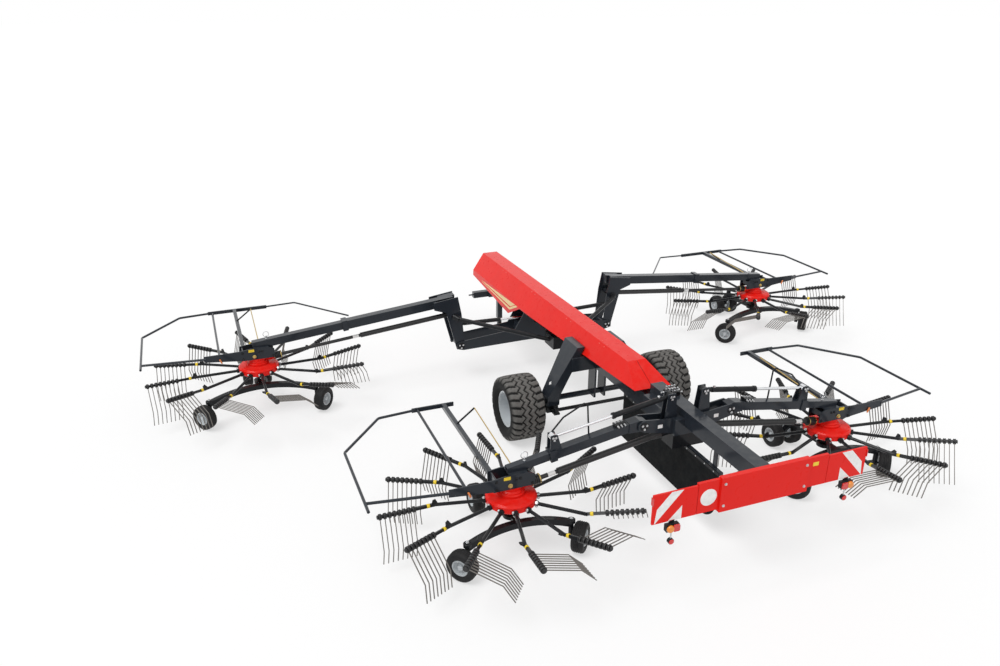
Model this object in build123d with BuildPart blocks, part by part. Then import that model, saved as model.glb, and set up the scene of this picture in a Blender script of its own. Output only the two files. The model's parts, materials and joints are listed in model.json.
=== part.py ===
from build123d import *
import os
from math import cos, radians, sin, sqrt, tan
from typing import NamedTuple

# Four-rotor rotary rake in its working position. Millimetres, +X forward, +Y left, +Z up.
# Lengths along X are stations ahead of the line through the two rear rotor hubs, which lies at REAR_X.
REAR_X = -2886.77
RUN_GAP = 0.3


class Corner(NamedTuple):
    """One rotor with its arm, on the left side. The right side is its mirror image."""
    name: str
    hub_x: float
    hub_y: float
    tip_radius: float
    first_arm: float
    right_first_arm: float
    wheel_back: float
    wheel_out: float
    twin_ahead: float
    fold_y: float
    fold_z: float
    beam_y: float
    beam_z: float
    slope: float
    tube_start: float
    tube_end: float
    inner_start: float
    inner_width: float
    inner_height: float
    input_z: float
    shaft_start: float
    shaft_end: float
    sleeve_start: float
    guard_bar_end: float


FRONT = Corner(
    name="front", hub_x=REAR_X + 5030, hub_y=4920, tip_radius=1750, first_arm=1, right_first_arm=1,
    wheel_back=476, wheel_out=941, twin_ahead=950, fold_y=1450, fold_z=645,
    beam_y=1600, beam_z=1465, slope=5.8, tube_start=1540, tube_end=3500, inner_start=2850,
    inner_width=120, inner_height=130, input_z=890, shaft_start=1570, shaft_end=3200, sleeve_start=2900,
    guard_bar_end=-380,
)
REAR = Corner(
    name="rear", hub_x=REAR_X, hub_y=2420, tip_radius=1640, first_arm=18, right_first_arm=8,
    wheel_back=400, wheel_out=773, twin_ahead=880, fold_y=650, fold_z=1400,
    beam_y=650, beam_z=1430, slope=9.7, tube_start=760, tube_end=1930, inner_start=1100,
    inner_width=96, inner_height=100, input_z=890, shaft_start=360, shaft_end=1800, sleeve_start=1250,
    guard_bar_end=50,
)

# Main beam and rear spine
BEAM_WIDTH = 200
BEAM_BOTTOM = 1080
BEAM_TOP = 1330
BEAM_REAR = REAR_X + 500
BEAM_FRONT = REAR_X + 6950
SPINE_WIDTH = 190
SPINE_BOTTOM = 1330
SPINE_TOP = 1540
SPINE_REAR = REAR_X - 1600
SPINE_FRONT = REAR_X + 720

# Rear head, which carries the rear arms and the rear gearbox
HEAD_HALF_X = 150
HEAD_HALF_WIDTH = 235
HEAD_BOTTOM = 1210
HEAD_TOP = 1430
HEAD_LUG_INNER = 75
HEAD_LUG_THICKNESS = 20
HEAD_LUG_ROOT = 60
HEAD_LUG_FLAT = 40
PIN_MARGIN = 85
BASE_LUG_INNER = 100
BASE_LUG_OUTER = 90
BASE_LUG_TOP = 55
BASE_LUG_OVERLAP = 50

# Front outriggers, two plates with the arm's fork between them
OUTRIGGER_INNER = 183
OUTRIGGER_THICKNESS = 18
OUTRIGGER_FLAT = 50
OUTRIGGER_KNEE = (420, 820)
OUTRIGGER_NECK = 260
OUTRIGGER_BELLY = (300, 578)
STIFFENER_HALF = 300
STIFFENER_BOTTOM = 590
STIFFENER_TOP = 840
SHAFT_OPENING = 55
SHAFT_OPENING_DROP = 25
FOLD_PIN_RADIUS = 40
FOLD_PIN_CLEARANCE = 0.5
FORK_INNER = 158
FORK_THICKNESS = 17

# Hood
SHEET = 4
HOOD_TOP_HALF = 145
HOOD_SIDE_HALF = 355
HOOD_SHOULDER = 345
HOOD_REAR_X = REAR_X + 800
HOOD_REAR_Z = 1420
HOOD_RIDGE_X = REAR_X + 1280
HOOD_RIDGE_Z = 1640
HOOD_FRONT_X = REAR_X + 7280
HOOD_FRONT_Z = 1530
HOOD_NOSE_X = REAR_X + 7330
HOOD_NOSE_Z = 1070
HOOD_TIP_X = REAR_X + 5360
HOOD_TIP_Z = 930
HOOD_STEP_X = REAR_X + 4800
HOOD_STEP_Z = 1210
HOOD_SEATS = (REAR_X + 1700, REAR_X + 6300)
HOOD_SEAT_LENGTH = 40
HOOD_SEAT_HALF = 60
HOOD_LEAD = 800
HOOD_SKIRT = 600
HOOD_REACH = 500

# Hose holder at the nose
HOSE_START = BEAM_FRONT - 80
HOSE_END = BEAM_FRONT + 530
HOSE_Y = 70
HOSE_Z = 1445
HOSE_END_Z = 1120
HOSE_RADIUS = 22
HOSE_BEND = 90
HOSE_HOLE_RADIUS = 28
HOSE_HOLE_DEPTH = 120

# Swath curtain with its rail and hangers, each hanger as (x, height of what carries it)
CURTAIN_REAR = REAR_X - 830
CURTAIN_FRONT = REAR_X + 1560
CURTAIN_TOP = 1000
CURTAIN_BOTTOM = 265
CURTAIN_CORNER = 300
CURTAIN_THICKNESS = 8
RAIL_BOTTOM = 960
RAIL_OUT = 60
HANGERS = ((REAR_X - 700, SPINE_BOTTOM), (REAR_X + 1350, BEAM_BOTTOM))
HANGER_LENGTH = 60
HANGER_THICKNESS = 30

# Main wheels, their legs and the steering
WHEEL_X = REAR_X + 2560
WHEEL_Y = 1280
TYRE_RADIUS = 510
TYRE_WIDTH = 550
TYRE_CROWN = 45
RIM_RADIUS = 285
RIM_WIDTH = 440
AXLE_RADIUS = 35
KINGPIN_X = REAR_X + 2420
KINGPIN_Y = 800
KINGPIN_RADIUS = 30
FOOT_HALF_X = 120
FOOT_HALF_Y = 100
FOOT_BOTTOM = 560
FOOT_TOP = 700
LEG_TOP_Z = 1450
LEG_TOP_X = REAR_X + 2575
LEG_TOP_Y = 338
LEG_TOP_HALF_X = 225
LEG_TOP_HALF_Y = 62
CROSS_BACK = 120
CROSS_AHEAD = 90
CROSS_HALF = 500
CROSS_DROP = 30
AXLE_TUBE_RADIUS = 45
AXLE_TUBE_END = 90
STRUT_STARTS = (-100, 70)
STRUT_THICKNESS = 30
STRUT_HALF_X = 110
STRUT_FOOT = 60
STEER_ARM = 220
STEER_ARM_BOTTOM = 470
STEER_ARM_TOP = 500
STEER_ARM_HALF = 45
KINGPIN_BOTTOM = 430
KNUCKLE_BOTTOM = 440
KNUCKLE_HALF = 100
TIE_ROD_RADIUS = 28
TIE_PAD_RADIUS = 40

# Gearboxes and shafts on the chassis
CENTRE_BOX_X = REAR_X + 3830
CENTRE_BOX_BOTTOM = 860
CENTRE_BOX_HALF_X = 180
CENTRE_BOX_HALF_Y = 200
REAR_BOX_HALF_X = 130
REAR_BOX_BOTTOM = 1010
REAR_INPUT_Z = 1052
LONG_SHAFT_RADIUS = 25
INPUT_SHAFT_RADIUS = 32
REAR_OUTPUT_RADIUS = 50
REAR_OUTPUT_ROOT = HEAD_HALF_WIDTH - 30
ELBOW_BACK = 110
ELBOW_IN = 60
CENTRE_OUTPUT_Z = 970
SHAFT_RADIUS = 28
SLEEVE_RADIUS = 43
SLEEVE_BOTTOM = 150
CONE_RADIUS = 60
JOINT_RADIUS = 45
CONE_LENGTH = 130
SIDE_SHAFT_RADIUS = SHAFT_RADIUS + 8
TRIM_Y = (1200, 2000)
TRIM_Z = (700, 1700)
TRIM_DEPTH = 100

# Rotors
ARM_COUNT = 12
ARM_Z = 710
ARM_RADIUS = 23
ARM_SIDES = 8
ARM_ROOT = 40
MARKER = 16
TINE_BAR = 36
CRANK_SHARE = 0.58
CRANK_ANGLE = 15
TINE_START_SHARE = 0.36
TINES_PER_ARM = 8
TINE_END = 30
TINE_SIZE = 10
TINE_UPPER = 430
TINE_LOWER = 215
TINE_BACK_ANGLE = 14
TINE_BEND = 30
HUB_RADIUS = 320
HUB_BOTTOM = 682
HUB_TOP = 802
HUB_BORE = 64
CAM_START = 18
CAM_ROLL = (0, 0, 4, 28, 58, 66, 70, 46, 18, 4, 0, 0)

# Rotor gearbox, head frame and running gear
BOX_BASE_RADIUS = 170
BOX_TOP_RADIUS = 125
BOX_STEP = 870
BOX_TOP = 912
INPUT_REACH = 255
INPUT_RADIUS = 50
SLIDE_CLEARANCE = 2
TUBE_WALL = 8
HEAD_PLATE_INNER = 100
HEAD_PLATE_THICKNESS = 15
HEAD_PLATE_HALF = 270
HEAD_PLATE_TOP = 1105
INPUT_CLEAR = 985
PLATE_ARM_END = 830
PLATE_ARM_Z = 1030
PLATE_ARM_HALF = 50
COLUMN_RADIUS = 58
COLUMN_BOTTOM = 450
ARCH_MID_BACK = 240
ARCH_MID_Z = 485
ARCH_END_Z = 380
ARCH_WIDTH = 80
ARCH_HEIGHT = 90
SMALL_RADIUS = 200
SMALL_WIDTH = 165
SMALL_RIM = 112
SMALL_AXLE = 15
SMALL_SHOULDER = 40
SMALL_CROWN = 4
SMALL_EDGE = 38
SMALL_HUB = 45
SMALL_HUB_INSET = 35
SMALL_WEB = 20
TWIN_OFFSET = 160
TOE = 42
STEM_OFFSET = 125
STEM_RADIUS = 32
STEM_DROP = 40
STEM_RISE = 50
AXLE_PAST = 60
COLUMN_FLANGE = 105
TWIN_STEM_BACK = 150
TWIN_STEM_RADIUS = 45
TWIN_STEM_BOTTOM = 400
TWIN_STEM_TOP = 560
TWIN_LINK = (60, 70)

# Guards
GUARD_Z = 990
GUARD_STUB = 80
GUARD_JOIN = 100
GUARD_SLOT = 30
GUARD_TUBE = 19
GUARD_BEND = 70
GUARD_OUT = 1780
GUARD_TURN = 1320
GUARD_FRONT = 2080
GUARD_FRONT_OUT = 1160
GUARD_BAR_X = 2130
GUARD_BAR_OUT = 640
GUARD_BAR = 24
GUARD_BOOM = 60
GUARD_BOOM_OUT = 200
GUARD_STAY_OUT = 590
GUARD_INNER_TURN = 900
GUARD_INNER_END = (1120, 1730)

# Lift cylinders, base and eye as (y, z) on the left side
REAR_BASE = (250, 1720)
REAR_EYE = (1880, 1460)
FRONT_BASE = (120, 1000)
FRONT_EYE = (1500, 1040)
FRONT_LIFT_X = FRONT.hub_x - 113
FRONT_BASE_LUG = ((70, 940), (170, 940), (170, 1090), (70, 1090))
BARREL_RADIUS = 36
NECK_RADIUS = 28
NECK_LENGTH = 120
ROD_RADIUS = 20
ROD_CLEARANCE = 0.5
EYE_RADIUS = 45
EYE_HALF = 40
LUG_INNER = 40.3
LUG_THICKNESS = 15
REAR_MOUTH = 835
REAR_BORE = 35
REAR_ROD_REACH = 845
FRONT_MOUTH = 820
FRONT_BORE = 70
FRONT_ROD_REACH = 590

# Rear board
BOARD_X = REAR_X - 1640
BOARD_THICKNESS = 40
BOARD_HALF = 880
BOARD_BOTTOM = 1150
BOARD_TOP = 1540
BOARD_FRAME_OUT = 25
BOARD_FRAME_HALF = 600
BOARD_FRAME_BELOW = 30
BOARD_FRAME_ABOVE = 20
PANEL_WIDTH = 555
PANEL_THICKNESS = 25
PANEL_GAP = 6
PANEL_HINGE = 12
HINGE_BOTTOMS = (BOARD_BOTTOM + 40, BOARD_TOP - 110)
HINGE_LENGTH = 60
HINGE_LEAF = 50
LAMP_INSET = 250
LAMP_HALF = 80
LAMP_BRACKET_HALF = 30
MARKER_LAMP_Z = BOARD_BOTTOM - 260
MARKER_LAMP_RADIUS = 36
MARKER_LAMP_THICKNESS = 40
MARKER_STALK_RADIUS = 9

# Headstock and parking stand
YAW_X = REAR_X + 7080
YAW_RADIUS = 35
YAW_EYE = 65
YAW_LUGS = (790, 1010)
YAW_LUG_THICKNESS = 30
YAW_LUG_ROOT = 60
YAW_BORE_DEPTH = 300
YAW_POST_BOTTOM = 785
YAW_POST_TOP = 1045
GOOSENECK_LENGTH = 150
GOOSENECK_HALF = 100
GOOSENECK_BOTTOM = 780
TUNNEL_RADIUS = 60
HEADSTOCK_HALF = 75
HEADSTOCK_TOP = 990
LINK_PIN_RADIUS = 14.35
LINK_PIN_LENGTH = 90
LINK_HALF = 390
LINK_X = REAR_X + 7260
LINK_Z = 660
LINK_BEAM_HALF = 60
PTO_RADIUS = 17.45
PTO_LENGTH = 90
PTO_Z = 900
PTO_FACE = YAW_X + 220
PTO_COLLAR_RADIUS = 55
PTO_COLLAR_LENGTH = 80
STAND_X = REAR_X + 6250
STAND_Y = 190
STAND_TUBE = 70
STAND_CLEARANCE = 0.5
STAND_TOP = 850
STAND_FOOT_HALF = 110
STAND_FOOT_THICKNESS = 20
SOCKET_HALF = 47
SOCKET_BOTTOM = 500
SOCKET_TOP = BEAM_TOP - 60
SOCKET_ROOF = 20


def write(part, name):
    """Label one piece and write it under its name."""
    part.label = name
    export_step(part, f"parts/{name}.step")


def write_pair(part, name):
    """Write a left-hand piece and its mirror image on the right."""
    write(part, f"{name}_left")
    write(mirror(part, about=Plane.XZ), f"{name}_right")


def round_bar(start, end, radius, mode=Mode.ADD):
    """A round bar between two points."""
    axis = Vector(*end) - Vector(*start)
    with BuildSketch(Plane(origin=start, z_dir=axis)) as section:
        Circle(radius)
    extrude(section.sketch, amount=axis.length, mode=mode)


def cone_bar(start, end, start_radius, end_radius):
    """A round tapered bar between two points."""
    axis = Vector(*end) - Vector(*start)
    with BuildSketch(Plane(origin=start, z_dir=axis)) as first:
        Circle(start_radius)
    with BuildSketch(Plane(origin=end, z_dir=axis)) as last:
        Circle(end_radius)
    loft([first.sketch, last.sketch])


def box_bar(start, end, width, height, mode=Mode.ADD):
    """A rectangular bar between two points, its width level."""
    axis = Vector(*end) - Vector(*start)
    level = Vector(0, 0, 1).cross(axis)
    with BuildSketch(Plane(origin=start, x_dir=level, z_dir=axis)) as section:
        Rectangle(width, height)
    extrude(section.sketch, amount=axis.length, mode=mode)


def block(low, high, mode=Mode.ADD):
    """A box between two corners."""
    size = Vector(*high) - Vector(*low)
    with BuildSketch(Plane(origin=low)) as section:
        Rectangle(size.X, size.Y, align=(Align.MIN, Align.MIN))
    extrude(section.sketch, amount=size.Z, mode=mode)


def cross_plate(x, thickness, points, mode=Mode.ADD):
    """A plate across the machine, from x forward, with its outline as (y, z) points."""
    with BuildSketch(Plane.YZ.offset(x)) as outline:
        Polygon(*points, align=None)
    extrude(outline.sketch, amount=thickness, mode=mode)


def cross_disc(x, thickness, y, z, radius, mode=Mode.ADD):
    """A disc or hole across the machine, from x forward."""
    with BuildSketch(Plane.YZ.offset(x)) as outline:
        with Locations((y, z)):
            Circle(radius)
    extrude(outline.sketch, amount=thickness, mode=mode)


def plate_pair(middle, inner, thickness, points):
    """Two like plates at equal distances before and behind a station."""
    cross_plate(middle + inner, thickness, points)
    cross_plate(middle - inner - thickness, thickness, points)


def beam_height(corner, y):
    """Height of the arm beam's centre line."""
    return corner.beam_z - (y - corner.beam_y) * tan(radians(corner.slope))


def shaft_height(corner, y):
    """Height of the drive shaft, which runs parallel to the arm beam."""
    return corner.input_z + (corner.hub_y - INPUT_REACH - y) * tan(radians(corner.slope))


def on_beam(corner, y):
    return (corner.hub_x, y, beam_height(corner, y))


def on_shaft(corner, y):
    return (corner.hub_x, y, shaft_height(corner, y))


def toward(base, eye, distance):
    """A point on the line from a cylinder's base to its eye, as (y, z)."""
    line = Vector(*eye) - Vector(*base)
    point = Vector(*base) + line.normalized() * distance
    return (point.X, point.Y)


def hood_ridge(x):
    """Height of the hood's top face."""
    fall = (HOOD_RIDGE_Z - HOOD_FRONT_Z) / (HOOD_FRONT_X - HOOD_RIDGE_X)
    return HOOD_RIDGE_Z - fall * (x - HOOD_RIDGE_X)


os.makedirs("parts", exist_ok=True)

# Main frame: beam, spine, rear head, outriggers, wheel legs, gooseneck and hangers
PLUMB = Vector(0, 0, 1)

with BuildPart() as main_frame:
    block((BEAM_REAR, -BEAM_WIDTH / 2, BEAM_BOTTOM), (BEAM_FRONT, BEAM_WIDTH / 2, BEAM_TOP))
    block((SPINE_REAR, -SPINE_WIDTH / 2, SPINE_BOTTOM), (SPINE_FRONT, SPINE_WIDTH / 2, SPINE_TOP))
    block(
        (REAR_X - HEAD_HALF_X, -HEAD_HALF_WIDTH, HEAD_BOTTOM),
        (BEAM_REAR + HEAD_HALF_X, HEAD_HALF_WIDTH, HEAD_TOP),
    )
    # Rear hinge lugs and cylinder brackets, mirrored left to right
    lug_outline = [
        (HEAD_HALF_WIDTH - HEAD_LUG_ROOT, HEAD_BOTTOM),
        (REAR.fold_y, REAR.fold_z - PIN_MARGIN),
        (REAR.fold_y + PIN_MARGIN, REAR.fold_z - HEAD_LUG_FLAT),
        (REAR.fold_y + PIN_MARGIN, REAR.fold_z + HEAD_LUG_FLAT),
        (REAR.fold_y, REAR.fold_z + PIN_MARGIN),
        (HEAD_HALF_WIDTH - HEAD_LUG_ROOT, HEAD_TOP),
    ]
    base_outline = [
        (REAR_BASE[0] - BASE_LUG_INNER, HEAD_TOP - BASE_LUG_OVERLAP),
        (REAR_BASE[0] + BASE_LUG_OUTER, HEAD_TOP - BASE_LUG_OVERLAP),
        (REAR_BASE[0] + BASE_LUG_TOP, REAR_BASE[1] + BASE_LUG_OVERLAP),
        (REAR_BASE[0] - BASE_LUG_TOP, REAR_BASE[1] + BASE_LUG_OVERLAP),
    ]
    for side in (1, -1):
        mirrored = [(side * y, z) for y, z in lug_outline]
        plate_pair(REAR_X, HEAD_LUG_INNER, HEAD_LUG_THICKNESS, mirrored)
        lug_span = 2 * (HEAD_LUG_INNER + HEAD_LUG_THICKNESS)
        cross_disc(REAR_X - lug_span / 2, lug_span, side * REAR.fold_y, REAR.fold_z, FOLD_PIN_RADIUS)
        mirrored = [(side * y, z) for y, z in base_outline]
        plate_pair(REAR_X, LUG_INNER, LUG_THICKNESS, mirrored)
    # Front outriggers: two plates from side to side with a stiffener low between them
    half_outline = [
        (FRONT.fold_y + PIN_MARGIN, FRONT.fold_z - OUTRIGGER_FLAT),
        (FRONT.fold_y + PIN_MARGIN, FRONT.fold_z + OUTRIGGER_FLAT),
        (FRONT.fold_y, FRONT.fold_z + PIN_MARGIN),
        OUTRIGGER_KNEE,
        (OUTRIGGER_NECK, BEAM_BOTTOM + 10),
        (OUTRIGGER_NECK, BEAM_BOTTOM + 100),
    ]
    low_outline = [OUTRIGGER_BELLY, (FRONT.fold_y - 40, FRONT.fold_z - PIN_MARGIN)]
    outrigger = half_outline + [(-y, z) for y, z in reversed(half_outline)]
    outrigger += [(-y, z) for y, z in reversed(low_outline)] + low_outline
    plate_pair(FRONT.hub_x, OUTRIGGER_INNER, OUTRIGGER_THICKNESS, outrigger)
    span = OUTRIGGER_INNER + OUTRIGGER_THICKNESS
    block(
        (FRONT.hub_x - span, -STIFFENER_HALF, STIFFENER_BOTTOM),
        (FRONT.hub_x + span, STIFFENER_HALF, STIFFENER_TOP),
    )
    for side in (1, -1):
        cross_disc(FRONT.hub_x - span, 2 * span, side * FRONT.fold_y, FRONT.fold_z, FOLD_PIN_RADIUS)
        base_lug = [(side * y, z) for y, z in FRONT_BASE_LUG]
        plate_pair(FRONT_LIFT_X, LUG_INNER, LUG_THICKNESS, base_lug)
    opening_z = CENTRE_OUTPUT_Z - SHAFT_OPENING_DROP
    cross_disc(FRONT.hub_x - span, 2 * span, 0, opening_z, SHAFT_OPENING, mode=Mode.SUBTRACT)
    # Wheel legs with a cross member and the axle tube
    for side in (1, -1):
        foot = (KINGPIN_X, side * KINGPIN_Y)
        with BuildSketch(Plane.XY.offset(FOOT_TOP)) as leg_low:
            with Locations(foot):
                Rectangle(2 * FOOT_HALF_X, 2 * FOOT_HALF_Y)
        with BuildSketch(Plane.XY.offset(LEG_TOP_Z)) as leg_high:
            with Locations((LEG_TOP_X, side * LEG_TOP_Y)):
                Rectangle(2 * LEG_TOP_HALF_X, 2 * LEG_TOP_HALF_Y)
        loft([leg_low.sketch, leg_high.sketch], ruled=True)
        block(
            (KINGPIN_X - FOOT_HALF_X, side * KINGPIN_Y - FOOT_HALF_Y, FOOT_BOTTOM),
            (KINGPIN_X + FOOT_HALF_X, side * KINGPIN_Y + FOOT_HALF_Y, FOOT_TOP),
        )
        with BuildSketch(Plane.XY.offset(FOOT_BOTTOM)) as kingpin_bore:
            with Locations(foot):
                Circle(KINGPIN_RADIUS + FOLD_PIN_CLEARANCE)
        extrude(kingpin_bore.sketch, amount=FOOT_TOP - FOOT_BOTTOM, mode=Mode.SUBTRACT)
    block(
        (KINGPIN_X - CROSS_BACK, -CROSS_HALF, BEAM_BOTTOM),
        (KINGPIN_X + CROSS_AHEAD, CROSS_HALF, BEAM_TOP - CROSS_DROP),
    )
    axle_z = (FOOT_BOTTOM + FOOT_TOP) / 2
    axle_end = KINGPIN_Y - AXLE_TUBE_END
    round_bar((KINGPIN_X, -axle_end, axle_z), (KINGPIN_X, axle_end, axle_z), AXLE_TUBE_RADIUS)
    for y in STRUT_STARTS:
        block(
            (KINGPIN_X - STRUT_HALF_X, y, axle_z - STRUT_FOOT),
            (KINGPIN_X + STRUT_HALF_X, y + STRUT_THICKNESS, BEAM_BOTTOM + 10),
        )
    # Gooseneck and yaw lugs
    gooseneck_rear = BEAM_FRONT - GOOSENECK_LENGTH
    block(
        (gooseneck_rear, -GOOSENECK_HALF, GOOSENECK_BOTTOM),
        (BEAM_FRONT, GOOSENECK_HALF, BEAM_BOTTOM + 10),
    )
    for z in YAW_LUGS:
        lug_top = z + YAW_LUG_THICKNESS
        block((BEAM_FRONT - YAW_LUG_ROOT, -YAW_EYE, z), (YAW_X, YAW_EYE, lug_top))
        round_bar((YAW_X, 0, z), (YAW_X, 0, lug_top), YAW_EYE)
    with BuildSketch(Plane.XY.offset(GOOSENECK_BOTTOM)) as yaw_bore:
        with Locations((YAW_X, 0)):
            Circle(YAW_RADIUS + FOLD_PIN_CLEARANCE)
    extrude(yaw_bore.sketch, amount=YAW_BORE_DEPTH, mode=Mode.SUBTRACT)
    with BuildSketch(Plane.YZ.offset(gooseneck_rear - 10)) as shaft_tunnel:
        with Locations((0, PTO_Z)):
            Circle(TUNNEL_RADIUS)
    extrude(shaft_tunnel.sketch, amount=GOOSENECK_LENGTH + 20, mode=Mode.SUBTRACT)
    # Stand socket
    socket = STAND_TUBE / 2 + STAND_CLEARANCE
    block(
        (STAND_X - SOCKET_HALF, STAND_Y - SOCKET_HALF, SOCKET_BOTTOM),
        (STAND_X + SOCKET_HALF, STAND_Y + SOCKET_HALF, SOCKET_TOP),
    )
    block(
        (STAND_X - SOCKET_HALF, BEAM_WIDTH / 2 - 10, BEAM_BOTTOM + 20),
        (STAND_X + SOCKET_HALF, STAND_Y, SOCKET_TOP),
    )
    block(
        (STAND_X - socket, STAND_Y - socket, SOCKET_BOTTOM - 10),
        (STAND_X + socket, STAND_Y + socket, SOCKET_TOP - SOCKET_ROOF),
        mode=Mode.SUBTRACT,
    )
    # Hood seats, rail of the swath curtain and its hangers
    for x in HOOD_SEATS:
        seat_top = hood_ridge(x + HOOD_SEAT_LENGTH) - SHEET - RUN_GAP
        block((x, -HOOD_SEAT_HALF, BEAM_TOP - 10), (x + HOOD_SEAT_LENGTH, HOOD_SEAT_HALF, seat_top))
    block(
        (CURTAIN_REAR, -RAIL_OUT, RAIL_BOTTOM),
        (CURTAIN_FRONT, -CURTAIN_THICKNESS / 2, CURTAIN_TOP),
    )
    for x, top in HANGERS:
        block(
            (x, -RAIL_OUT, RAIL_BOTTOM),
            (x + HANGER_LENGTH, HANGER_THICKNESS - RAIL_OUT, top + 10),
        )
    # Hose holder at the nose
    with BuildLine() as hose_path:
        FilletPolyline(
            (HOSE_START, HOSE_Y, BEAM_TOP - 60),
            (HOSE_START, HOSE_Y, HOSE_Z),
            (HOSE_END, HOSE_Y, HOSE_Z),
            (HOSE_END, HOSE_Y, HOSE_END_Z),
            radius=HOSE_BEND,
        )
    with BuildSketch(Plane(origin=hose_path.line @ 0, z_dir=hose_path.line % 0)) as hose_section:
        Circle(HOSE_RADIUS)
    sweep(hose_section.sketch, path=hose_path.line)
write(main_frame.part, "main_frame")

# Hood: sheet shell with a narrow top, sloped sides and deep front skirts
HOOD_SIDE = [
    (HOOD_REAR_X, HOOD_REAR_Z),
    (HOOD_RIDGE_X, HOOD_RIDGE_Z),
    (HOOD_FRONT_X, HOOD_FRONT_Z),
    (HOOD_NOSE_X, HOOD_NOSE_Z),
    (HOOD_TIP_X, HOOD_TIP_Z),
    (HOOD_STEP_X, HOOD_STEP_Z),
]
HOOD_AXIS = Vector(HOOD_FRONT_X - HOOD_RIDGE_X, 0, HOOD_FRONT_Z - HOOD_RIDGE_Z).normalized()
HOOD_START = Vector(HOOD_RIDGE_X, 0, HOOD_RIDGE_Z) - HOOD_AXIS * HOOD_LEAD
HOOD_LENGTH = HOOD_NOSE_X - HOOD_REAR_X + HOOD_LEAD + 100


def hood_section(inset):
    """Half-hexagon section of the hood, as points across and up from its ridge."""
    deep = -HOOD_SHOULDER - HOOD_SKIRT
    right = [
        (HOOD_TOP_HALF - inset, -inset),
        (HOOD_SIDE_HALF - inset, -HOOD_SHOULDER),
        (HOOD_SIDE_HALF - inset, deep),
    ]
    return right + [(-y, z) for y, z in reversed(right)]


with BuildPart() as hood:
    hood_plane = Plane(origin=HOOD_START, x_dir=(0, 1, 0), z_dir=HOOD_AXIS)
    with BuildSketch(hood_plane) as outer_section:
        Polygon(*hood_section(0), align=None)
    extrude(outer_section.sketch, amount=HOOD_LENGTH)
    with BuildSketch(Plane(origin=(0, HOOD_REACH, 0), x_dir=(1, 0, 0), z_dir=(0, -1, 0))) as side_view:
        Polygon(*HOOD_SIDE, align=None)
    extrude(side_view.sketch, amount=2 * HOOD_REACH, mode=Mode.INTERSECT)
    with BuildSketch(hood_plane.offset(HOOD_LEAD + SHEET)) as inner_section:
        Polygon(*hood_section(SHEET), align=None)
    inner_length = HOOD_FRONT_X - HOOD_RIDGE_X - 2 * SHEET
    extrude(inner_section.sketch, amount=inner_length, mode=Mode.SUBTRACT)
    with BuildSketch(Plane.YZ.offset(HOOD_FRONT_X - HOSE_HOLE_DEPTH / 2)) as hose_hole:
        with Locations((HOSE_Y, HOSE_Z)):
            Circle(HOSE_HOLE_RADIUS)
    extrude(hose_hole.sketch, amount=HOSE_HOLE_DEPTH, mode=Mode.SUBTRACT)
write(hood.part, "hood")

# Rear board with two side panels and their lamps
with BuildPart() as rear_board:
    block((BOARD_X, -BOARD_HALF, BOARD_BOTTOM), (BOARD_X + BOARD_THICKNESS, BOARD_HALF, BOARD_TOP))
    block(
        (BOARD_X - BOARD_FRAME_OUT, -BOARD_FRAME_HALF, BOARD_BOTTOM - BOARD_FRAME_BELOW),
        (BOARD_X + BOARD_THICKNESS, BOARD_FRAME_HALF, BOARD_TOP + BOARD_FRAME_ABOVE),
    )
write(rear_board.part, "rear_board")

with BuildPart() as board_panel:
    inner = BOARD_HALF + PANEL_GAP
    outer = inner + PANEL_WIDTH
    block((BOARD_X, inner, BOARD_BOTTOM), (BOARD_X + PANEL_THICKNESS, outer, BOARD_TOP - 20))
    lamp_y = outer - LAMP_INSET
    block(
        (BOARD_X - 40, lamp_y - LAMP_HALF, BOARD_BOTTOM - 115),
        (BOARD_X + 20, lamp_y + LAMP_HALF, BOARD_BOTTOM - 30),
    )
    block(
        (BOARD_X - 5, lamp_y - LAMP_BRACKET_HALF, BOARD_BOTTOM - 40),
        (BOARD_X + 15, lamp_y + LAMP_BRACKET_HALF, BOARD_BOTTOM + 10),
    )
    stalk = (BOARD_X - 10, lamp_y)
    round_bar((*stalk, MARKER_LAMP_Z), (*stalk, BOARD_BOTTOM - 110), MARKER_STALK_RADIUS)
    cross_disc(BOARD_X - 30, MARKER_LAMP_THICKNESS, lamp_y, MARKER_LAMP_Z, MARKER_LAMP_RADIUS)
    for z in HINGE_BOTTOMS:
        hinge = (BOARD_X + BOARD_THICKNESS + PANEL_HINGE, inner - PANEL_GAP / 2)
        hinge_top = z + HINGE_LENGTH
        leaf = inner + HINGE_LEAF
        round_bar((*hinge, z), (*hinge, hinge_top), PANEL_HINGE - RUN_GAP)
        block((hinge[0] - 16, inner, z), (hinge[0] + 4, leaf, hinge_top))
        block((BOARD_X + 5, inner + 10, z), (hinge[0], leaf, hinge_top))
write_pair(board_panel.part, "board_panel")

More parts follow.
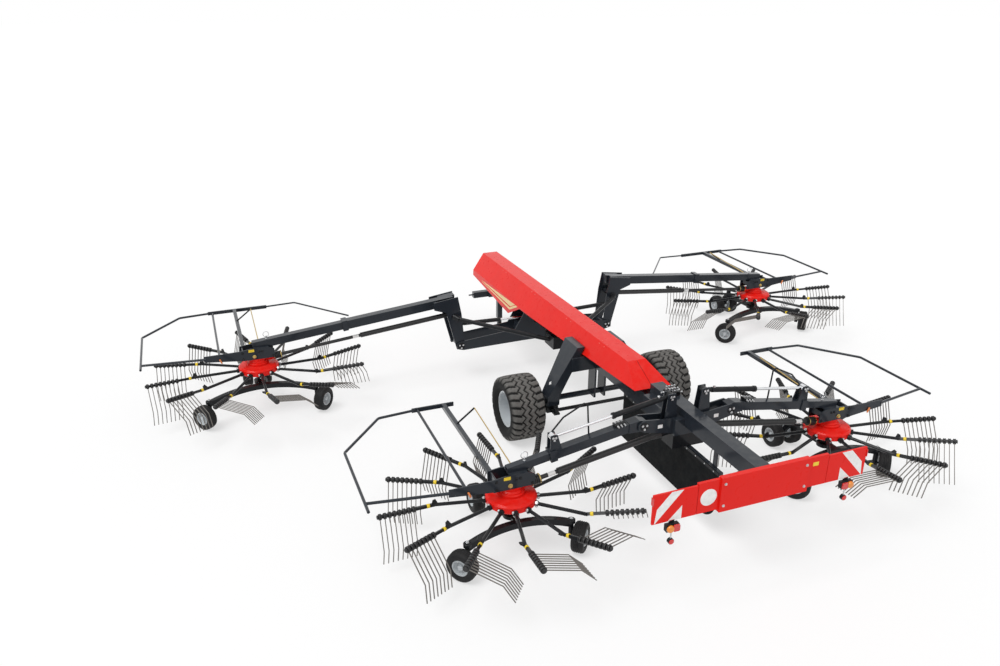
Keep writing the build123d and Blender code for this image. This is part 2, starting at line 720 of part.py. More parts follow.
# Swath curtain: a hanging sheet with a rounded lower rear corner
with BuildPart() as swath_curtain:
    corner_x = CURTAIN_REAR + CURTAIN_CORNER
    corner_z = CURTAIN_BOTTOM + CURTAIN_CORNER
    bevel = CURTAIN_CORNER * (1 - cos(radians(45)))
    curtain_plane = Plane(origin=(0, CURTAIN_THICKNESS / 2, 0), x_dir=(1, 0, 0), z_dir=(0, -1, 0))
    with BuildSketch(curtain_plane):
        with BuildLine():
            Line((CURTAIN_REAR, CURTAIN_TOP), (CURTAIN_FRONT, CURTAIN_TOP))
            Line((CURTAIN_FRONT, CURTAIN_TOP), (CURTAIN_FRONT, CURTAIN_BOTTOM))
            Line((CURTAIN_FRONT, CURTAIN_BOTTOM), (corner_x, CURTAIN_BOTTOM))
            ThreePointArc(
                (corner_x, CURTAIN_BOTTOM),
                (CURTAIN_REAR + bevel, CURTAIN_BOTTOM + bevel),
                (CURTAIN_REAR, corner_z),
            )
            Line((CURTAIN_REAR, corner_z), (CURTAIN_REAR, CURTAIN_TOP))
        make_face()
    extrude(amount=CURTAIN_THICKNESS)
write(swath_curtain.part, "swath_curtain")

# Drive line on the chassis: centre gearbox, rear gearbox and the shafts between them
with BuildPart() as drive_line:
    block(
        (CENTRE_BOX_X - CENTRE_BOX_HALF_X, -CENTRE_BOX_HALF_Y, CENTRE_BOX_BOTTOM),
        (CENTRE_BOX_X + CENTRE_BOX_HALF_X, CENTRE_BOX_HALF_Y, BEAM_BOTTOM),
    )
    block(
        (REAR_X - REAR_BOX_HALF_X, -HEAD_HALF_WIDTH, REAR_BOX_BOTTOM),
        (REAR_X + REAR_BOX_HALF_X, HEAD_HALF_WIDTH, HEAD_BOTTOM),
    )
    round_bar(
        (REAR_X + 100, 0, REAR_INPUT_Z),
        (CENTRE_BOX_X - 150, 0, CENTRE_OUTPUT_Z + 30),
        LONG_SHAFT_RADIUS,
    )
    round_bar(
        (CENTRE_BOX_X + 150, 0, CENTRE_OUTPUT_Z - 15),
        (YAW_X - 180, 0, PTO_Z + 8),
        INPUT_SHAFT_RADIUS,
    )
    fork_face = FRONT.hub_x - FORK_INNER - FORK_THICKNESS - RUN_GAP
    joint_y = FRONT.shaft_start - 10
    joint_z = shaft_height(FRONT, FRONT.shaft_start)
    for side in (1, -1):
        round_bar(
            (REAR.hub_x, side * REAR_OUTPUT_ROOT, shaft_height(REAR, REAR_OUTPUT_ROOT)),
            (REAR.hub_x, side * (REAR.shaft_start - RUN_GAP), shaft_height(REAR, REAR.shaft_start)),
            REAR_OUTPUT_RADIUS,
        )
        output = (CENTRE_BOX_X, side * (CENTRE_BOX_HALF_Y - 20), CENTRE_OUTPUT_Z)
        elbow = (fork_face - ELBOW_BACK, side * (joint_y - ELBOW_IN), joint_z - 10)
        round_bar(output, elbow, SIDE_SHAFT_RADIUS)
        cone_bar(elbow, (fork_face, side * joint_y, joint_z), SIDE_SHAFT_RADIUS, CONE_RADIUS)
    # The rear outputs start under the head block
    block(
        (REAR_X - REAR_BOX_HALF_X, -HEAD_HALF_WIDTH - RUN_GAP, HEAD_BOTTOM),
        (REAR_X + REAR_BOX_HALF_X, HEAD_HALF_WIDTH + RUN_GAP, HEAD_TOP),
        mode=Mode.SUBTRACT,
    )
    # The joint cones end flat, just behind the forks of the front arms
    for side in (1, -1):
        near, far = sorted(side * y for y in TRIM_Y)
        block(
            (fork_face, near, TRIM_Z[0]),
            (fork_face + TRIM_DEPTH, far, TRIM_Z[1]),
            mode=Mode.SUBTRACT,
        )
write(drive_line.part, "drive_line")

# Headstock: yaw post, cross beam with the lower link pins, and the drive input
with BuildPart() as headstock:
    round_bar((YAW_X, 0, YAW_POST_BOTTOM), (YAW_X, 0, YAW_POST_TOP), YAW_RADIUS)
    block(
        (YAW_X - 70, -HEADSTOCK_HALF, YAW_LUGS[0] + YAW_LUG_THICKNESS + RUN_GAP),
        (YAW_X + 75, HEADSTOCK_HALF, YAW_LUGS[1] - RUN_GAP),
    )
    block(
        (YAW_X + 70, -HEADSTOCK_HALF, LINK_Z - LINK_BEAM_HALF),
        (YAW_X + 150, HEADSTOCK_HALF, HEADSTOCK_TOP),
    )
    block(
        (YAW_X + 120, -LINK_HALF, LINK_Z - LINK_BEAM_HALF),
        (LINK_X + 50, LINK_HALF, LINK_Z + LINK_BEAM_HALF),
    )
    round_bar(
        (LINK_X, -LINK_HALF - LINK_PIN_LENGTH, LINK_Z),
        (LINK_X, LINK_HALF + LINK_PIN_LENGTH, LINK_Z),
        LINK_PIN_RADIUS,
    )
    round_bar((PTO_FACE - PTO_COLLAR_LENGTH, 0, PTO_Z), (PTO_FACE, 0, PTO_Z), PTO_COLLAR_RADIUS)
    round_bar((PTO_FACE - 10, 0, PTO_Z), (PTO_FACE + PTO_LENGTH, 0, PTO_Z), PTO_RADIUS)
write(headstock.part, "headstock")

# Parking stand
with BuildPart() as stand_leg:
    half = STAND_TUBE / 2
    block(
        (STAND_X - half, STAND_Y - half, STAND_FOOT_THICKNESS - 5),
        (STAND_X + half, STAND_Y + half, STAND_TOP),
    )
    block(
        (STAND_X - STAND_FOOT_HALF, STAND_Y - STAND_FOOT_HALF, 0),
        (STAND_X + STAND_FOOT_HALF, STAND_Y + STAND_FOOT_HALF, STAND_FOOT_THICKNESS),
    )
write(stand_leg.part, "stand_leg")

# Steering: knuckles with stub axles, and the tie rod that lies on their steering arms
with BuildPart() as knuckle:
    knuckle_top = FOOT_BOTTOM - RUN_GAP
    round_bar(
        (KINGPIN_X, KINGPIN_Y, KINGPIN_BOTTOM),
        (KINGPIN_X, KINGPIN_Y, FOOT_TOP - 10),
        KINGPIN_RADIUS,
    )
    block(
        (KINGPIN_X - KNUCKLE_HALF, KINGPIN_Y - KNUCKLE_HALF + 10, KNUCKLE_BOTTOM),
        (KINGPIN_X + KNUCKLE_HALF, KINGPIN_Y + KNUCKLE_HALF, knuckle_top),
    )
    block((KINGPIN_X, KINGPIN_Y, KNUCKLE_BOTTOM), (WHEEL_X + 70, KINGPIN_Y + 130, knuckle_top))
    block(
        (KINGPIN_X - STEER_ARM - STEER_ARM_HALF, KINGPIN_Y - STEER_ARM_HALF, STEER_ARM_BOTTOM),
        (KINGPIN_X, KINGPIN_Y + STEER_ARM_HALF, STEER_ARM_TOP),
    )
    round_bar(
        (WHEEL_X, KINGPIN_Y + KNUCKLE_HALF, TYRE_RADIUS),
        (WHEEL_X, WHEEL_Y + 60, TYRE_RADIUS),
        AXLE_RADIUS - RUN_GAP,
    )
write_pair(knuckle.part, "knuckle")

with BuildPart() as tie_rod:
    tie_x = KINGPIN_X - STEER_ARM
    pad_low = STEER_ARM_TOP + RUN_GAP
    pad_high = pad_low + 2 * TIE_ROD_RADIUS + 14
    tie_z = (pad_low + pad_high) / 2
    round_bar((tie_x, -KINGPIN_Y + 30, tie_z), (tie_x, KINGPIN_Y - 30, tie_z), TIE_ROD_RADIUS)
    for side in (1, -1):
        round_bar(
            (tie_x, side * KINGPIN_Y, pad_low),
            (tie_x, side * KINGPIN_Y, pad_high),
            TIE_PAD_RADIUS,
        )
write(tie_rod.part, "tie_rod")


def wheel_profile(y, z, radius, half, inner_radius, inner_half, crown):
    """Section of a tyre above its axle: two sides, rounded shoulders and a crowned tread."""
    bead = z + inner_radius
    shoulder = z + radius - 2 * crown
    tread = z + radius - crown / 3
    with BuildLine() as outline:
        Line((y - inner_half, bead), (y - half, bead + crown))
        Line((y - half, bead + crown), (y - half, shoulder))
        TangentArc((y - half, shoulder), (y - half + crown, tread), tangent=(0, 1))
        ThreePointArc((y - half + crown, tread), (y, z + radius), (y + half - crown, tread))
        TangentArc((y + half, shoulder), (y + half - crown, tread), tangent=(0, 1))
        Line((y + half, shoulder), (y + half, bead + crown))
        Line((y + half, bead + crown), (y + inner_half, bead))
        Line((y + inner_half, bead), (y - inner_half, bead))
    return outline


# Main wheels
with BuildPart() as main_tyre:
    tyre_line = wheel_profile(
        WHEEL_Y, TYRE_RADIUS, TYRE_RADIUS, TYRE_WIDTH / 2, RIM_RADIUS, RIM_WIDTH / 2, TYRE_CROWN
    )
    with BuildSketch(Plane.YZ.offset(WHEEL_X)) as tyre_section:
        make_face(tyre_line.line)
    revolve(tyre_section.sketch, axis=Axis((WHEEL_X, 0, TYRE_RADIUS), (0, 1, 0)))
write_pair(main_tyre.part, "main_tyre")

with BuildPart() as main_rim:
    rim_outer = RIM_RADIUS - RUN_GAP
    rim_half = RIM_WIDTH / 2
    z = TYRE_RADIUS
    y = WHEEL_Y
    with BuildSketch(Plane.YZ.offset(WHEEL_X)) as rim_section:
        with BuildLine():
            Polyline(
                (y - rim_half, z + rim_outer - 25),
                (y - rim_half, z + rim_outer),
                (y + rim_half, z + rim_outer),
                (y + rim_half, z + rim_outer - 25),
                (y + 60, z + rim_outer - 30),
                (y + 40, z + 150),
                (y + 70, z + 110),
                (y + 70, z + AXLE_RADIUS),
                (y - 60, z + AXLE_RADIUS),
                (y - 60, z + 90),
                (y + 20, z + 120),
                (y + 30, z + rim_outer - 40),
                (y - rim_half + 30, z + rim_outer - 30),
                close=True,
            )
        make_face()
    revolve(rim_section.sketch, axis=Axis((WHEEL_X, 0, TYRE_RADIUS), (0, 1, 0)))
write_pair(main_rim.part, "main_rim")


def small_wheel(x, y):
    """One rotor wheel, tyre and rim in one, turning on its axle along Y."""
    z = SMALL_RADIUS
    half = SMALL_WIDTH / 2
    hub = half - SMALL_HUB_INSET
    edge = half - SMALL_EDGE
    bore = z + SMALL_AXLE + RUN_GAP
    rim = z + SMALL_RIM
    shoulder = z + SMALL_RADIUS - SMALL_SHOULDER
    tread = z + SMALL_RADIUS - SMALL_CROWN
    with BuildLine() as outline:
        Polyline(
            (y - hub, bore),
            (y - hub, z + SMALL_HUB),
            (y - SMALL_WEB, rim - 25),
            (y - half + 12, rim - 8),
            (y - half, rim + 12),
            (y - half, shoulder),
        )
        TangentArc((y - half, shoulder), (y - edge, tread), tangent=(0, 1))
        ThreePointArc((y - edge, tread), (y, z + SMALL_RADIUS), (y + edge, tread))
        TangentArc((y + half, shoulder), (y + edge, tread), tangent=(0, 1))
        Polyline(
            (y + half, shoulder),
            (y + half, rim + 12),
            (y + half - 12, rim - 8),
            (y + SMALL_WEB, rim - 25),
            (y + hub, z + SMALL_HUB),
            (y + hub, bore),
            (y - hub, bore),
        )
    with BuildSketch(Plane.YZ.offset(x)) as section:
        make_face(outline.line)
    revolve(section.sketch, axis=Axis((x, 0, z), (0, 1, 0)))


def tine_outline():
    """Outline of one bent tine as (back, up) points, worked out from its two straight lengths."""
    half = TINE_SIZE / 2
    upper = radians(TINE_BACK_ANGLE)
    lower = radians(TINE_BACK_ANGLE - TINE_BEND)
    knee = Vector(TINE_UPPER * sin(upper), -TINE_UPPER * cos(upper))
    tip = knee + Vector(TINE_LOWER * sin(lower), -TINE_LOWER * cos(lower))
    first = Vector(cos(upper), sin(upper)) * half
    last = Vector(cos(lower), sin(lower)) * half
    middle = (first + last) * (1 / (1 + cos(radians(TINE_BEND))))
    right = [first, knee + middle, tip + last]
    left = [tip - last, knee - middle, first * -1]
    return [(point.X, point.Y) for point in right + left]


def cam_roll(angle):
    """Roll of a tine arm at its place round the circle, read between the cam's stations."""
    pitch = 360 / len(CAM_ROLL)
    station, share = divmod((angle - CAM_START) % 360 / pitch, 1)
    first = CAM_ROLL[int(station)]
    last = CAM_ROLL[(int(station) + 1) % len(CAM_ROLL)]
    return first + (last - first) * share


def build_rotor(corner, first_arm):
    """Hub disc with twelve tine arms, each rolled as the cam holds it at its place round the circle."""
    crank = corner.tip_radius * CRANK_SHARE
    lean = radians(CRANK_ANGLE)
    reach = crank * cos(lean)
    outer = sqrt(reach**2 + corner.tip_radius**2 - crank**2) - reach
    first_tine = outer * TINE_START_SHARE
    pitch = (outer - TINE_END - first_tine) / (TINES_PER_ARM - 1)

    def on_bar(distance):
        """Plane across the cranked outer length, at a distance past the crank."""
        origin = (crank + distance * cos(lean), distance * sin(lean), 0)
        return Plane(origin=origin, x_dir=(-sin(lean), cos(lean), 0), z_dir=(cos(lean), sin(lean), 0))

    with BuildPart() as arm:
        with BuildSketch(Plane.YZ.offset(HUB_RADIUS - ARM_ROOT)) as tube:
            RegularPolygon(ARM_RADIUS, ARM_SIDES)
        extrude(tube.sketch, amount=crank - HUB_RADIUS + ARM_ROOT + ARM_RADIUS)
        with BuildSketch(on_bar(-ARM_RADIUS)) as bar:
            Rectangle(TINE_BAR, TINE_BAR)
        extrude(bar.sketch, amount=outer + ARM_RADIUS)
        stations = [first_tine + index * pitch for index in range(TINES_PER_ARM)]
        with BuildSketch(*[on_bar(distance) for distance in stations]) as tines:
            Polygon(*tine_outline(), align=None)
        extrude(tines.sketch, amount=TINE_SIZE)
        with BuildSketch(Plane(origin=(0, MARKER / 2, 0), x_dir=(1, 0, 0), z_dir=(0, -1, 0))) as marker:
            Polygon((crank - 60, 0), (crank + 30, 0), (crank + 15, 60), (crank - 20, 75), align=None)
        extrude(marker.sketch, amount=MARKER)
    with BuildPart() as rotor:
        with BuildSketch(Plane.XZ) as hub_section:
            Polygon(
                (HUB_BORE, HUB_BOTTOM),
                (HUB_RADIUS - 10, HUB_BOTTOM),
                (HUB_RADIUS, HUB_BOTTOM + 10),
                (HUB_RADIUS, HUB_TOP - 40),
                (HUB_RADIUS - 25, HUB_TOP - 15),
                (BOX_BASE_RADIUS + 15, HUB_TOP),
                (HUB_BORE, HUB_TOP),
                align=None,
            )
        revolve(hub_section.sketch, axis=Axis.Z)
        places = []
        for index in range(ARM_COUNT):
            place = first_arm + index * 360 / ARM_COUNT
            angle = radians(place)
            roll = radians(cam_roll(place))
            radial = Vector(cos(angle), sin(angle), 0)
            around = PLUMB.cross(radial)
            up = PLUMB * cos(roll) - around * sin(roll)
            places.append(Plane(origin=(0, 0, ARM_Z), x_dir=radial, z_dir=up))
        with Locations(*places):
            add(arm.part)
    return rotor.part.moved(Location((corner.hub_x, corner.hub_y, 0)))


def build_arm(corner):
    """Folding arm: outer box tube of the telescope, its root and the inner half of the drive shaft."""
    x = corner.hub_x
    wall = SLIDE_CLEARANCE + TUBE_WALL
    width = corner.inner_width + 2 * wall
    height = corner.inner_height + 2 * wall
    with BuildPart() as arm:
        box_bar(on_beam(corner, corner.tube_start), on_beam(corner, corner.tube_end), width, height)
        collar = corner.tube_end - 90
        box_bar(on_beam(corner, collar), on_beam(corner, corner.tube_end), width + 30, height + 30)
        if corner is FRONT:
            far = corner.fold_y + 470
            fork = [
                (corner.fold_y - 80, corner.fold_z - 55),
                (corner.fold_y + 80, corner.fold_z - 55),
                (corner.fold_y + 260, 1300),
                (far, beam_height(corner, far) - 62),
                (far, beam_height(corner, far) + 75),
                (corner.fold_y + 40, beam_height(corner, corner.fold_y + 40) + 90),
                (corner.fold_y - 20, 1250),
            ]
            plate_pair(x, FORK_INNER, FORK_THICKNESS, fork)
            span = FORK_INNER + FORK_THICKNESS
            # The saddle fills the fork ahead of the tube; the lift cylinder swings past behind it
            saddle = [
                (corner.fold_y + 50, beam_height(corner, corner.fold_y + 50) - 80),
                (corner.fold_y + 330, beam_height(corner, corner.fold_y + 330) - 80),
                (corner.fold_y + 330, beam_height(corner, corner.fold_y + 330) + 70),
                (corner.fold_y + 50, beam_height(corner, corner.fold_y + 50) + 80),
            ]
            cross_plate(x, FORK_INNER + 5, saddle)
            tie = [
                (far - 60, beam_height(corner, far - 60) - 58),
                (far - 5, beam_height(corner, far) - 58),
                (far - 5, beam_height(corner, far) + 58),
                (far - 60, beam_height(corner, far - 60) + 58),
            ]
            cross_plate(x - FORK_INNER - 5, FORK_INNER + 5, tie)
            hinge_tube = FOLD_PIN_RADIUS + 22
            cross_disc(x - span + 5, 2 * span - 10, corner.fold_y, corner.fold_z, hinge_tube)
            joint = (corner.shaft_start, shaft_height(corner, corner.shaft_start))
            cross_disc(x - JOINT_RADIUS, JOINT_RADIUS + FORK_INNER + 5, *joint, JOINT_RADIUS)
            boss_low = x - FORK_INNER - 5
            boss_high = FRONT_LIFT_X - EYE_HALF - RUN_GAP
            cross_disc(boss_low, boss_high - boss_low, *FRONT_EYE, EYE_RADIUS + 10)
        else:
            root = [
                (corner.fold_y - 40, corner.fold_z - 65),
                (corner.fold_y + 60, corner.fold_z - 75),
                (corner.tube_start + 90, beam_height(corner, corner.tube_start + 90) - 66),
                (corner.tube_start + 90, beam_height(corner, corner.tube_start + 90) + 66),
                (corner.fold_y + 60, corner.fold_z + 85),
                (corner.fold_y - 40, corner.fold_z + 65),
            ]
            cross_plate(x - HEAD_LUG_INNER + 5, 2 * (HEAD_LUG_INNER - 5), root)
            span = HEAD_LUG_INNER - 5
            cone_end = corner.shaft_start + CONE_LENGTH
            cone_bar(
                on_shaft(corner, corner.shaft_start),
                on_shaft(corner, cone_end),
                CONE_RADIUS,
                SLEEVE_RADIUS,
            )
            lug_y, lug_z = REAR_EYE
            lug_foot = lug_y - 110
            lug = [
                (lug_foot, beam_height(corner, lug_foot) + height / 2 - 8),
                (corner.tube_end, beam_height(corner, corner.tube_end) + height / 2 - 8),
                (lug_y + EYE_RADIUS, lug_z + 40),
                (lug_y - EYE_RADIUS, lug_z + 40),
            ]
            plate_pair(x, LUG_INNER, LUG_THICKNESS, lug)
        round_bar(
            on_shaft(corner, corner.shaft_start),
            on_shaft(corner, corner.shaft_end),
            SLEEVE_RADIUS,
        )
        round_bar(
            on_shaft(corner, corner.shaft_start + SLEEVE_BOTTOM),
            on_shaft(corner, corner.shaft_end + 20),
            SHAFT_RADIUS + ROD_CLEARANCE,
            mode=Mode.SUBTRACT,
        )
        cavity = (corner.inner_width + 2 * SLIDE_CLEARANCE, corner.inner_height + 2 * SLIDE_CLEARANCE)
        cavity_start = corner.tube_start + (100 if corner is REAR else 20)
        box_bar(
            on_beam(corner, cavity_start),
            on_beam(corner, corner.tube_end + 50),
            *cavity,
            mode=Mode.SUBTRACT,
        )
        pin = (corner.fold_y, corner.fold_z)
        pin_bore = FOLD_PIN_RADIUS + FOLD_PIN_CLEARANCE
        cross_disc(x - span - 5, 2 * span + 10, *pin, pin_bore, mode=Mode.SUBTRACT)
    return arm.part


def build_carrier(corner):
    """Inner beam of the telescope with the rotor's head frame, plate arm and drive shaft sleeve."""
    x = corner.hub_x
    hub = corner.hub_y
    with BuildPart() as carrier:
        size = (corner.inner_width, corner.inner_height)
        box_bar(on_beam(corner, corner.inner_start), on_beam(corner, hub + 60), *size)
        hollow = [length - 2 * TUBE_WALL for length in size]
        box_bar(
            on_beam(corner, corner.inner_start - 10),
            on_beam(corner, hub),
            *hollow,
            mode=Mode.SUBTRACT,
        )
        top = beam_height(corner, hub)
        sides = [
            (hub - HEAD_PLATE_HALF, BOX_TOP),
            (hub + HEAD_PLATE_HALF, BOX_TOP),
            (hub + HEAD_PLATE_HALF, HEAD_PLATE_TOP - 20),
            (hub + 120, HEAD_PLATE_TOP),
            (hub - 180, HEAD_PLATE_TOP),
            (hub - HEAD_PLATE_HALF, HEAD_PLATE_TOP - 40),
        ]
        plate_pair(x, HEAD_PLATE_INNER, HEAD_PLATE_THICKNESS, sides)
        span = HEAD_PLATE_INNER + HEAD_PLATE_THICKNESS
        block((x - span, hub - 240, INPUT_CLEAR), (x + span, hub - 220, HEAD_PLATE_TOP - 40))
        block((x - span, hub + 220, BOX_TOP), (x + span, hub + 240, HEAD_PLATE_TOP - 30))
        block((x - span, hub - 60, BOX_TOP), (x + span, hub + 80, BOX_TOP + 20))
        block((x - span, hub - 180, top - 40), (x + span, hub + 60, HEAD_PLATE_TOP))
        arm_plate = [
            (hub + 200, BOX_TOP),
            (hub + PLATE_ARM_END, PLATE_ARM_Z - PLATE_ARM_HALF),
            (hub + PLATE_ARM_END, PLATE_ARM_Z + PLATE_ARM_HALF),
            (hub + 200, HEAD_PLATE_TOP - 20),
        ]
        cross_plate(x - span, HEAD_PLATE_THICKNESS, arm_plate)
        rod_end = hub - INPUT_REACH
        round_bar(on_shaft(corner, rod_end), on_shaft(corner, corner.sleeve_start), SHAFT_RADIUS)
        round_bar(on_shaft(corner, rod_end), on_shaft(corner, rod_end - CONE_LENGTH), CONE_RADIUS)
    return carrier.part


def build_gearbox(corner):
    """Stepped rotor gearbox with its drive input."""
    with BuildPart() as gearbox:
        centre = (corner.hub_x, corner.hub_y)
        step = (BOX_BASE_RADIUS + BOX_TOP_RADIUS) / 2
        with BuildSketch(Plane(origin=(*centre, 0), x_dir=(1, 0, 0), z_dir=(0, -1, 0))) as section:
            Polygon(
                (0, HUB_TOP + RUN_GAP),
                (BOX_BASE_RADIUS, HUB_TOP + RUN_GAP),
                (BOX_BASE_RADIUS, HUB_TOP + 28),
                (step, HUB_TOP + 38),
                (step, BOX_STEP - 15),
                (BOX_TOP_RADIUS, BOX_STEP),
                (BOX_TOP_RADIUS, BOX_TOP),
                (0, BOX_TOP),
                align=None,
            )
        revolve(section.sketch, axis=Axis((*centre, 0), (0, 0, 1)))
        inner = corner.hub_y - INPUT_REACH
        round_bar(on_shaft(corner, corner.hub_y - 100), on_shaft(corner, inner), INPUT_RADIUS)
    return gearbox.part


def build_running_gear(corner):
    """Column through the hub with the arched rear beam, the front leg and the wheel axles."""
    x = corner.hub_x
    y = corner.hub_y
    with BuildPart() as gear:
        round_bar((x, y, COLUMN_BOTTOM), (x, y, HUB_TOP + RUN_GAP), COLUMN_RADIUS)
        round_bar((x, y, COLUMN_BOTTOM), (x, y, COLUMN_BOTTOM + 50), COLUMN_FLANGE)
        turn = radians(TOE)
        back = x - corner.wheel_back
        stem_x = back + STEM_OFFSET * sin(turn)
        stem_out = corner.wheel_out - STEM_OFFSET * cos(turn)
        with BuildLine() as arch:
            ThreePointArc(
                (stem_x, y - stem_out, ARCH_END_Z),
                (x - ARCH_MID_BACK, y, ARCH_MID_Z),
                (stem_x, y + stem_out, ARCH_END_Z),
            )
        with BuildSketch(Plane(origin=arch.line @ 0, z_dir=arch.line % 0)) as arch_section:
            Rectangle(ARCH_WIDTH, ARCH_WIDTH)
        sweep(arch_section.sketch, path=arch.line)
        box_bar((x, y, ARCH_MID_Z), (x - ARCH_MID_BACK, y, ARCH_MID_Z), ARCH_HEIGHT, ARCH_WIDTH - 10)
        for side in (1, -1):
            stem_y = y + side * stem_out
            round_bar(
                (stem_x, stem_y, SMALL_RADIUS - STEM_DROP),
                (stem_x, stem_y, ARCH_END_Z + STEM_RISE),
                STEM_RADIUS,
            )
            axle_x = back - AXLE_PAST * sin(turn)
            axle_y = y + side * (corner.wheel_out + AXLE_PAST * cos(turn))
            round_bar((stem_x, stem_y, SMALL_RADIUS), (axle_x, axle_y, SMALL_RADIUS), SMALL_AXLE)
        ahead = x + corner.twin_ahead
        box_bar((x, y, ARCH_MID_Z), (ahead - 120, y, ARCH_MID_Z - 30), ARCH_WIDTH, ARCH_HEIGHT)
        stem = (ahead - TWIN_STEM_BACK, y)
        round_bar((*stem, TWIN_STEM_BOTTOM), (*stem, TWIN_STEM_TOP), TWIN_STEM_RADIUS)
        box_bar((*stem, TWIN_STEM_BOTTOM + 20), (ahead, y, SMALL_RADIUS), *TWIN_LINK)
        twin_half = TWIN_OFFSET + AXLE_PAST
        round_bar((ahead, y - twin_half, SMALL_RADIUS), (ahead, y + twin_half, SMALL_RADIUS), SMALL_AXLE)
    return gear.part


def build_guard(corner):
    """Guard hoop outside the tines with its bar and carrying tubes."""
    x = corner.hub_x
    y = corner.hub_y
    plate_x = x - HEAD_PLATE_INNER - HEAD_PLATE_THICKNESS / 2
    with BuildPart() as guard:
        with BuildLine() as hoop:
            FilletPolyline(
                (x - GUARD_STUB, y + GUARD_OUT, GUARD_Z),
                (x + GUARD_TURN, y + GUARD_OUT, GUARD_Z),
                (x + GUARD_FRONT, y + GUARD_FRONT_OUT, GUARD_Z),
                (x + GUARD_BAR_X, y + GUARD_BAR_OUT, GUARD_Z),
                radius=GUARD_BEND,
            )
        with BuildSketch(Plane(origin=hoop.line @ 0, z_dir=hoop.line % 0)) as tube:
            Circle(GUARD_TUBE)
        sweep(tube.sketch, path=hoop.line)
        round_bar(
            (plate_x, y + PLATE_ARM_END - GUARD_SLOT, PLATE_ARM_Z),
            (x + GUARD_JOIN, y + GUARD_OUT, GUARD_Z),
            GUARD_TUBE,
        )
        # The carrying tube is slotted over the end of the plate arm
        block(
            (x - HEAD_PLATE_INNER - HEAD_PLATE_THICKNESS, y, PLATE_ARM_Z - PLATE_ARM_HALF),
            (x - HEAD_PLATE_INNER, y + PLATE_ARM_END, PLATE_ARM_Z + PLATE_ARM_HALF),
            mode=Mode.SUBTRACT,
        )
        bar_end = y + corner.guard_bar_end
        block(
            (x + GUARD_BAR_X - GUARD_BAR / 2, bar_end, GUARD_Z - GUARD_BOOM / 2),
            (x + GUARD_BAR_X + GUARD_BAR / 2, y + GUARD_BAR_OUT + 30, GUARD_Z + GUARD_BOOM / 2),
        )
        front_plate = x + HEAD_PLATE_INNER + HEAD_PLATE_THICKNESS
        boom_y = y + GUARD_BOOM_OUT
        boom = (GUARD_BOOM, GUARD_BOOM)
        box_bar((front_plate, boom_y, GUARD_Z), (x + GUARD_BAR_X, boom_y, GUARD_Z), *boom)
        stay_y = y + GUARD_STAY_OUT
        round_bar((x - HEAD_PLATE_INNER, stay_y, GUARD_Z), (x + GUARD_BAR_X, stay_y, GUARD_Z), GUARD_TUBE)
        if corner is FRONT:
            with BuildLine() as inner_hoop:
                FilletPolyline(
                    (x + GUARD_BAR_X, bar_end + 60, GUARD_Z),
                    (x + GUARD_BAR_X + 40, y - GUARD_INNER_TURN, GUARD_Z),
                    (x + GUARD_INNER_END[0], y - GUARD_INNER_END[1], GUARD_Z),
                    radius=GUARD_BEND,
                )
            with BuildSketch(Plane(origin=inner_hoop.line @ 0, z_dir=inner_hoop.line % 0)) as inner_tube:
                Circle(GUARD_TUBE - 4)
            sweep(inner_tube.sketch, path=inner_hoop.line)
    return guard.part


def cylinder_barrel(x, base, eye, mouth, bore):
    """Barrel with its base eye: bored from the mouth for the rod."""
    line = (Vector(*eye) - Vector(*base)).length
    near = toward(base, eye, 0)
    far = toward(base, eye, mouth)
    with BuildPart() as barrel:
        round_bar((x, *near), (x, *far), NECK_RADIUS)
        round_bar((x, *toward(base, eye, NECK_LENGTH)), (x, *far), BARREL_RADIUS)
        cross_disc(x - EYE_HALF, 2 * EYE_HALF, *near, EYE_RADIUS + 5)
        deep = toward(base, eye, bore)
        past = toward(base, eye, min(mouth + 20, line))
        round_bar((x, *deep), (x, *past), ROD_RADIUS + ROD_CLEARANCE, mode=Mode.SUBTRACT)
    return barrel.part


def cylinder_rod(x, eye, base, reach):
    """Rod with its eye, reaching back into the barrel."""
    with BuildPart() as rod:
        round_bar((x, *eye), (x, *toward(eye, base, reach)), ROD_RADIUS)
        cross_disc(x - EYE_HALF, 2 * EYE_HALF, *eye, EYE_RADIUS)
    return rod.part


for corner in (FRONT, REAR):
    write_pair(build_arm(corner), f"{corner.name}_arm")
    write_pair(build_carrier(corner), f"{corner.name}_carrier")
    write_pair(build_gearbox(corner), f"{corner.name}_gearbox")
    write_pair(build_running_gear(corner), f"{corner.name}_running_gear")
    write_pair(build_guard(corner), f"{corner.name}_guard")
    write(build_rotor(corner, corner.first_arm), f"{corner.name}_rotor_left")
    right_rotor = mirror(build_rotor(corner, corner.right_first_arm), about=Plane.XZ)
    write(right_rotor, f"{corner.name}_rotor_right")
    for place, side in (("outer", 1), ("inner", -1)):
        spot = (corner.hub_x - corner.wheel_back, corner.hub_y + side * corner.wheel_out)
        with BuildPart() as wheel:
            small_wheel(*spot)
        turned = wheel.part.rotate(Axis((*spot, 0), (0, 0, 1)), side * TOE)
        write_pair(turned, f"{corner.name}_{place}_wheel")
    with BuildPart() as twin:
        for side in (1, -1):
            small_wheel(corner.hub_x + corner.twin_ahead, corner.hub_y + side * TWIN_OFFSET)
    write_pair(twin.part, f"{corner.name}_twin_wheel")

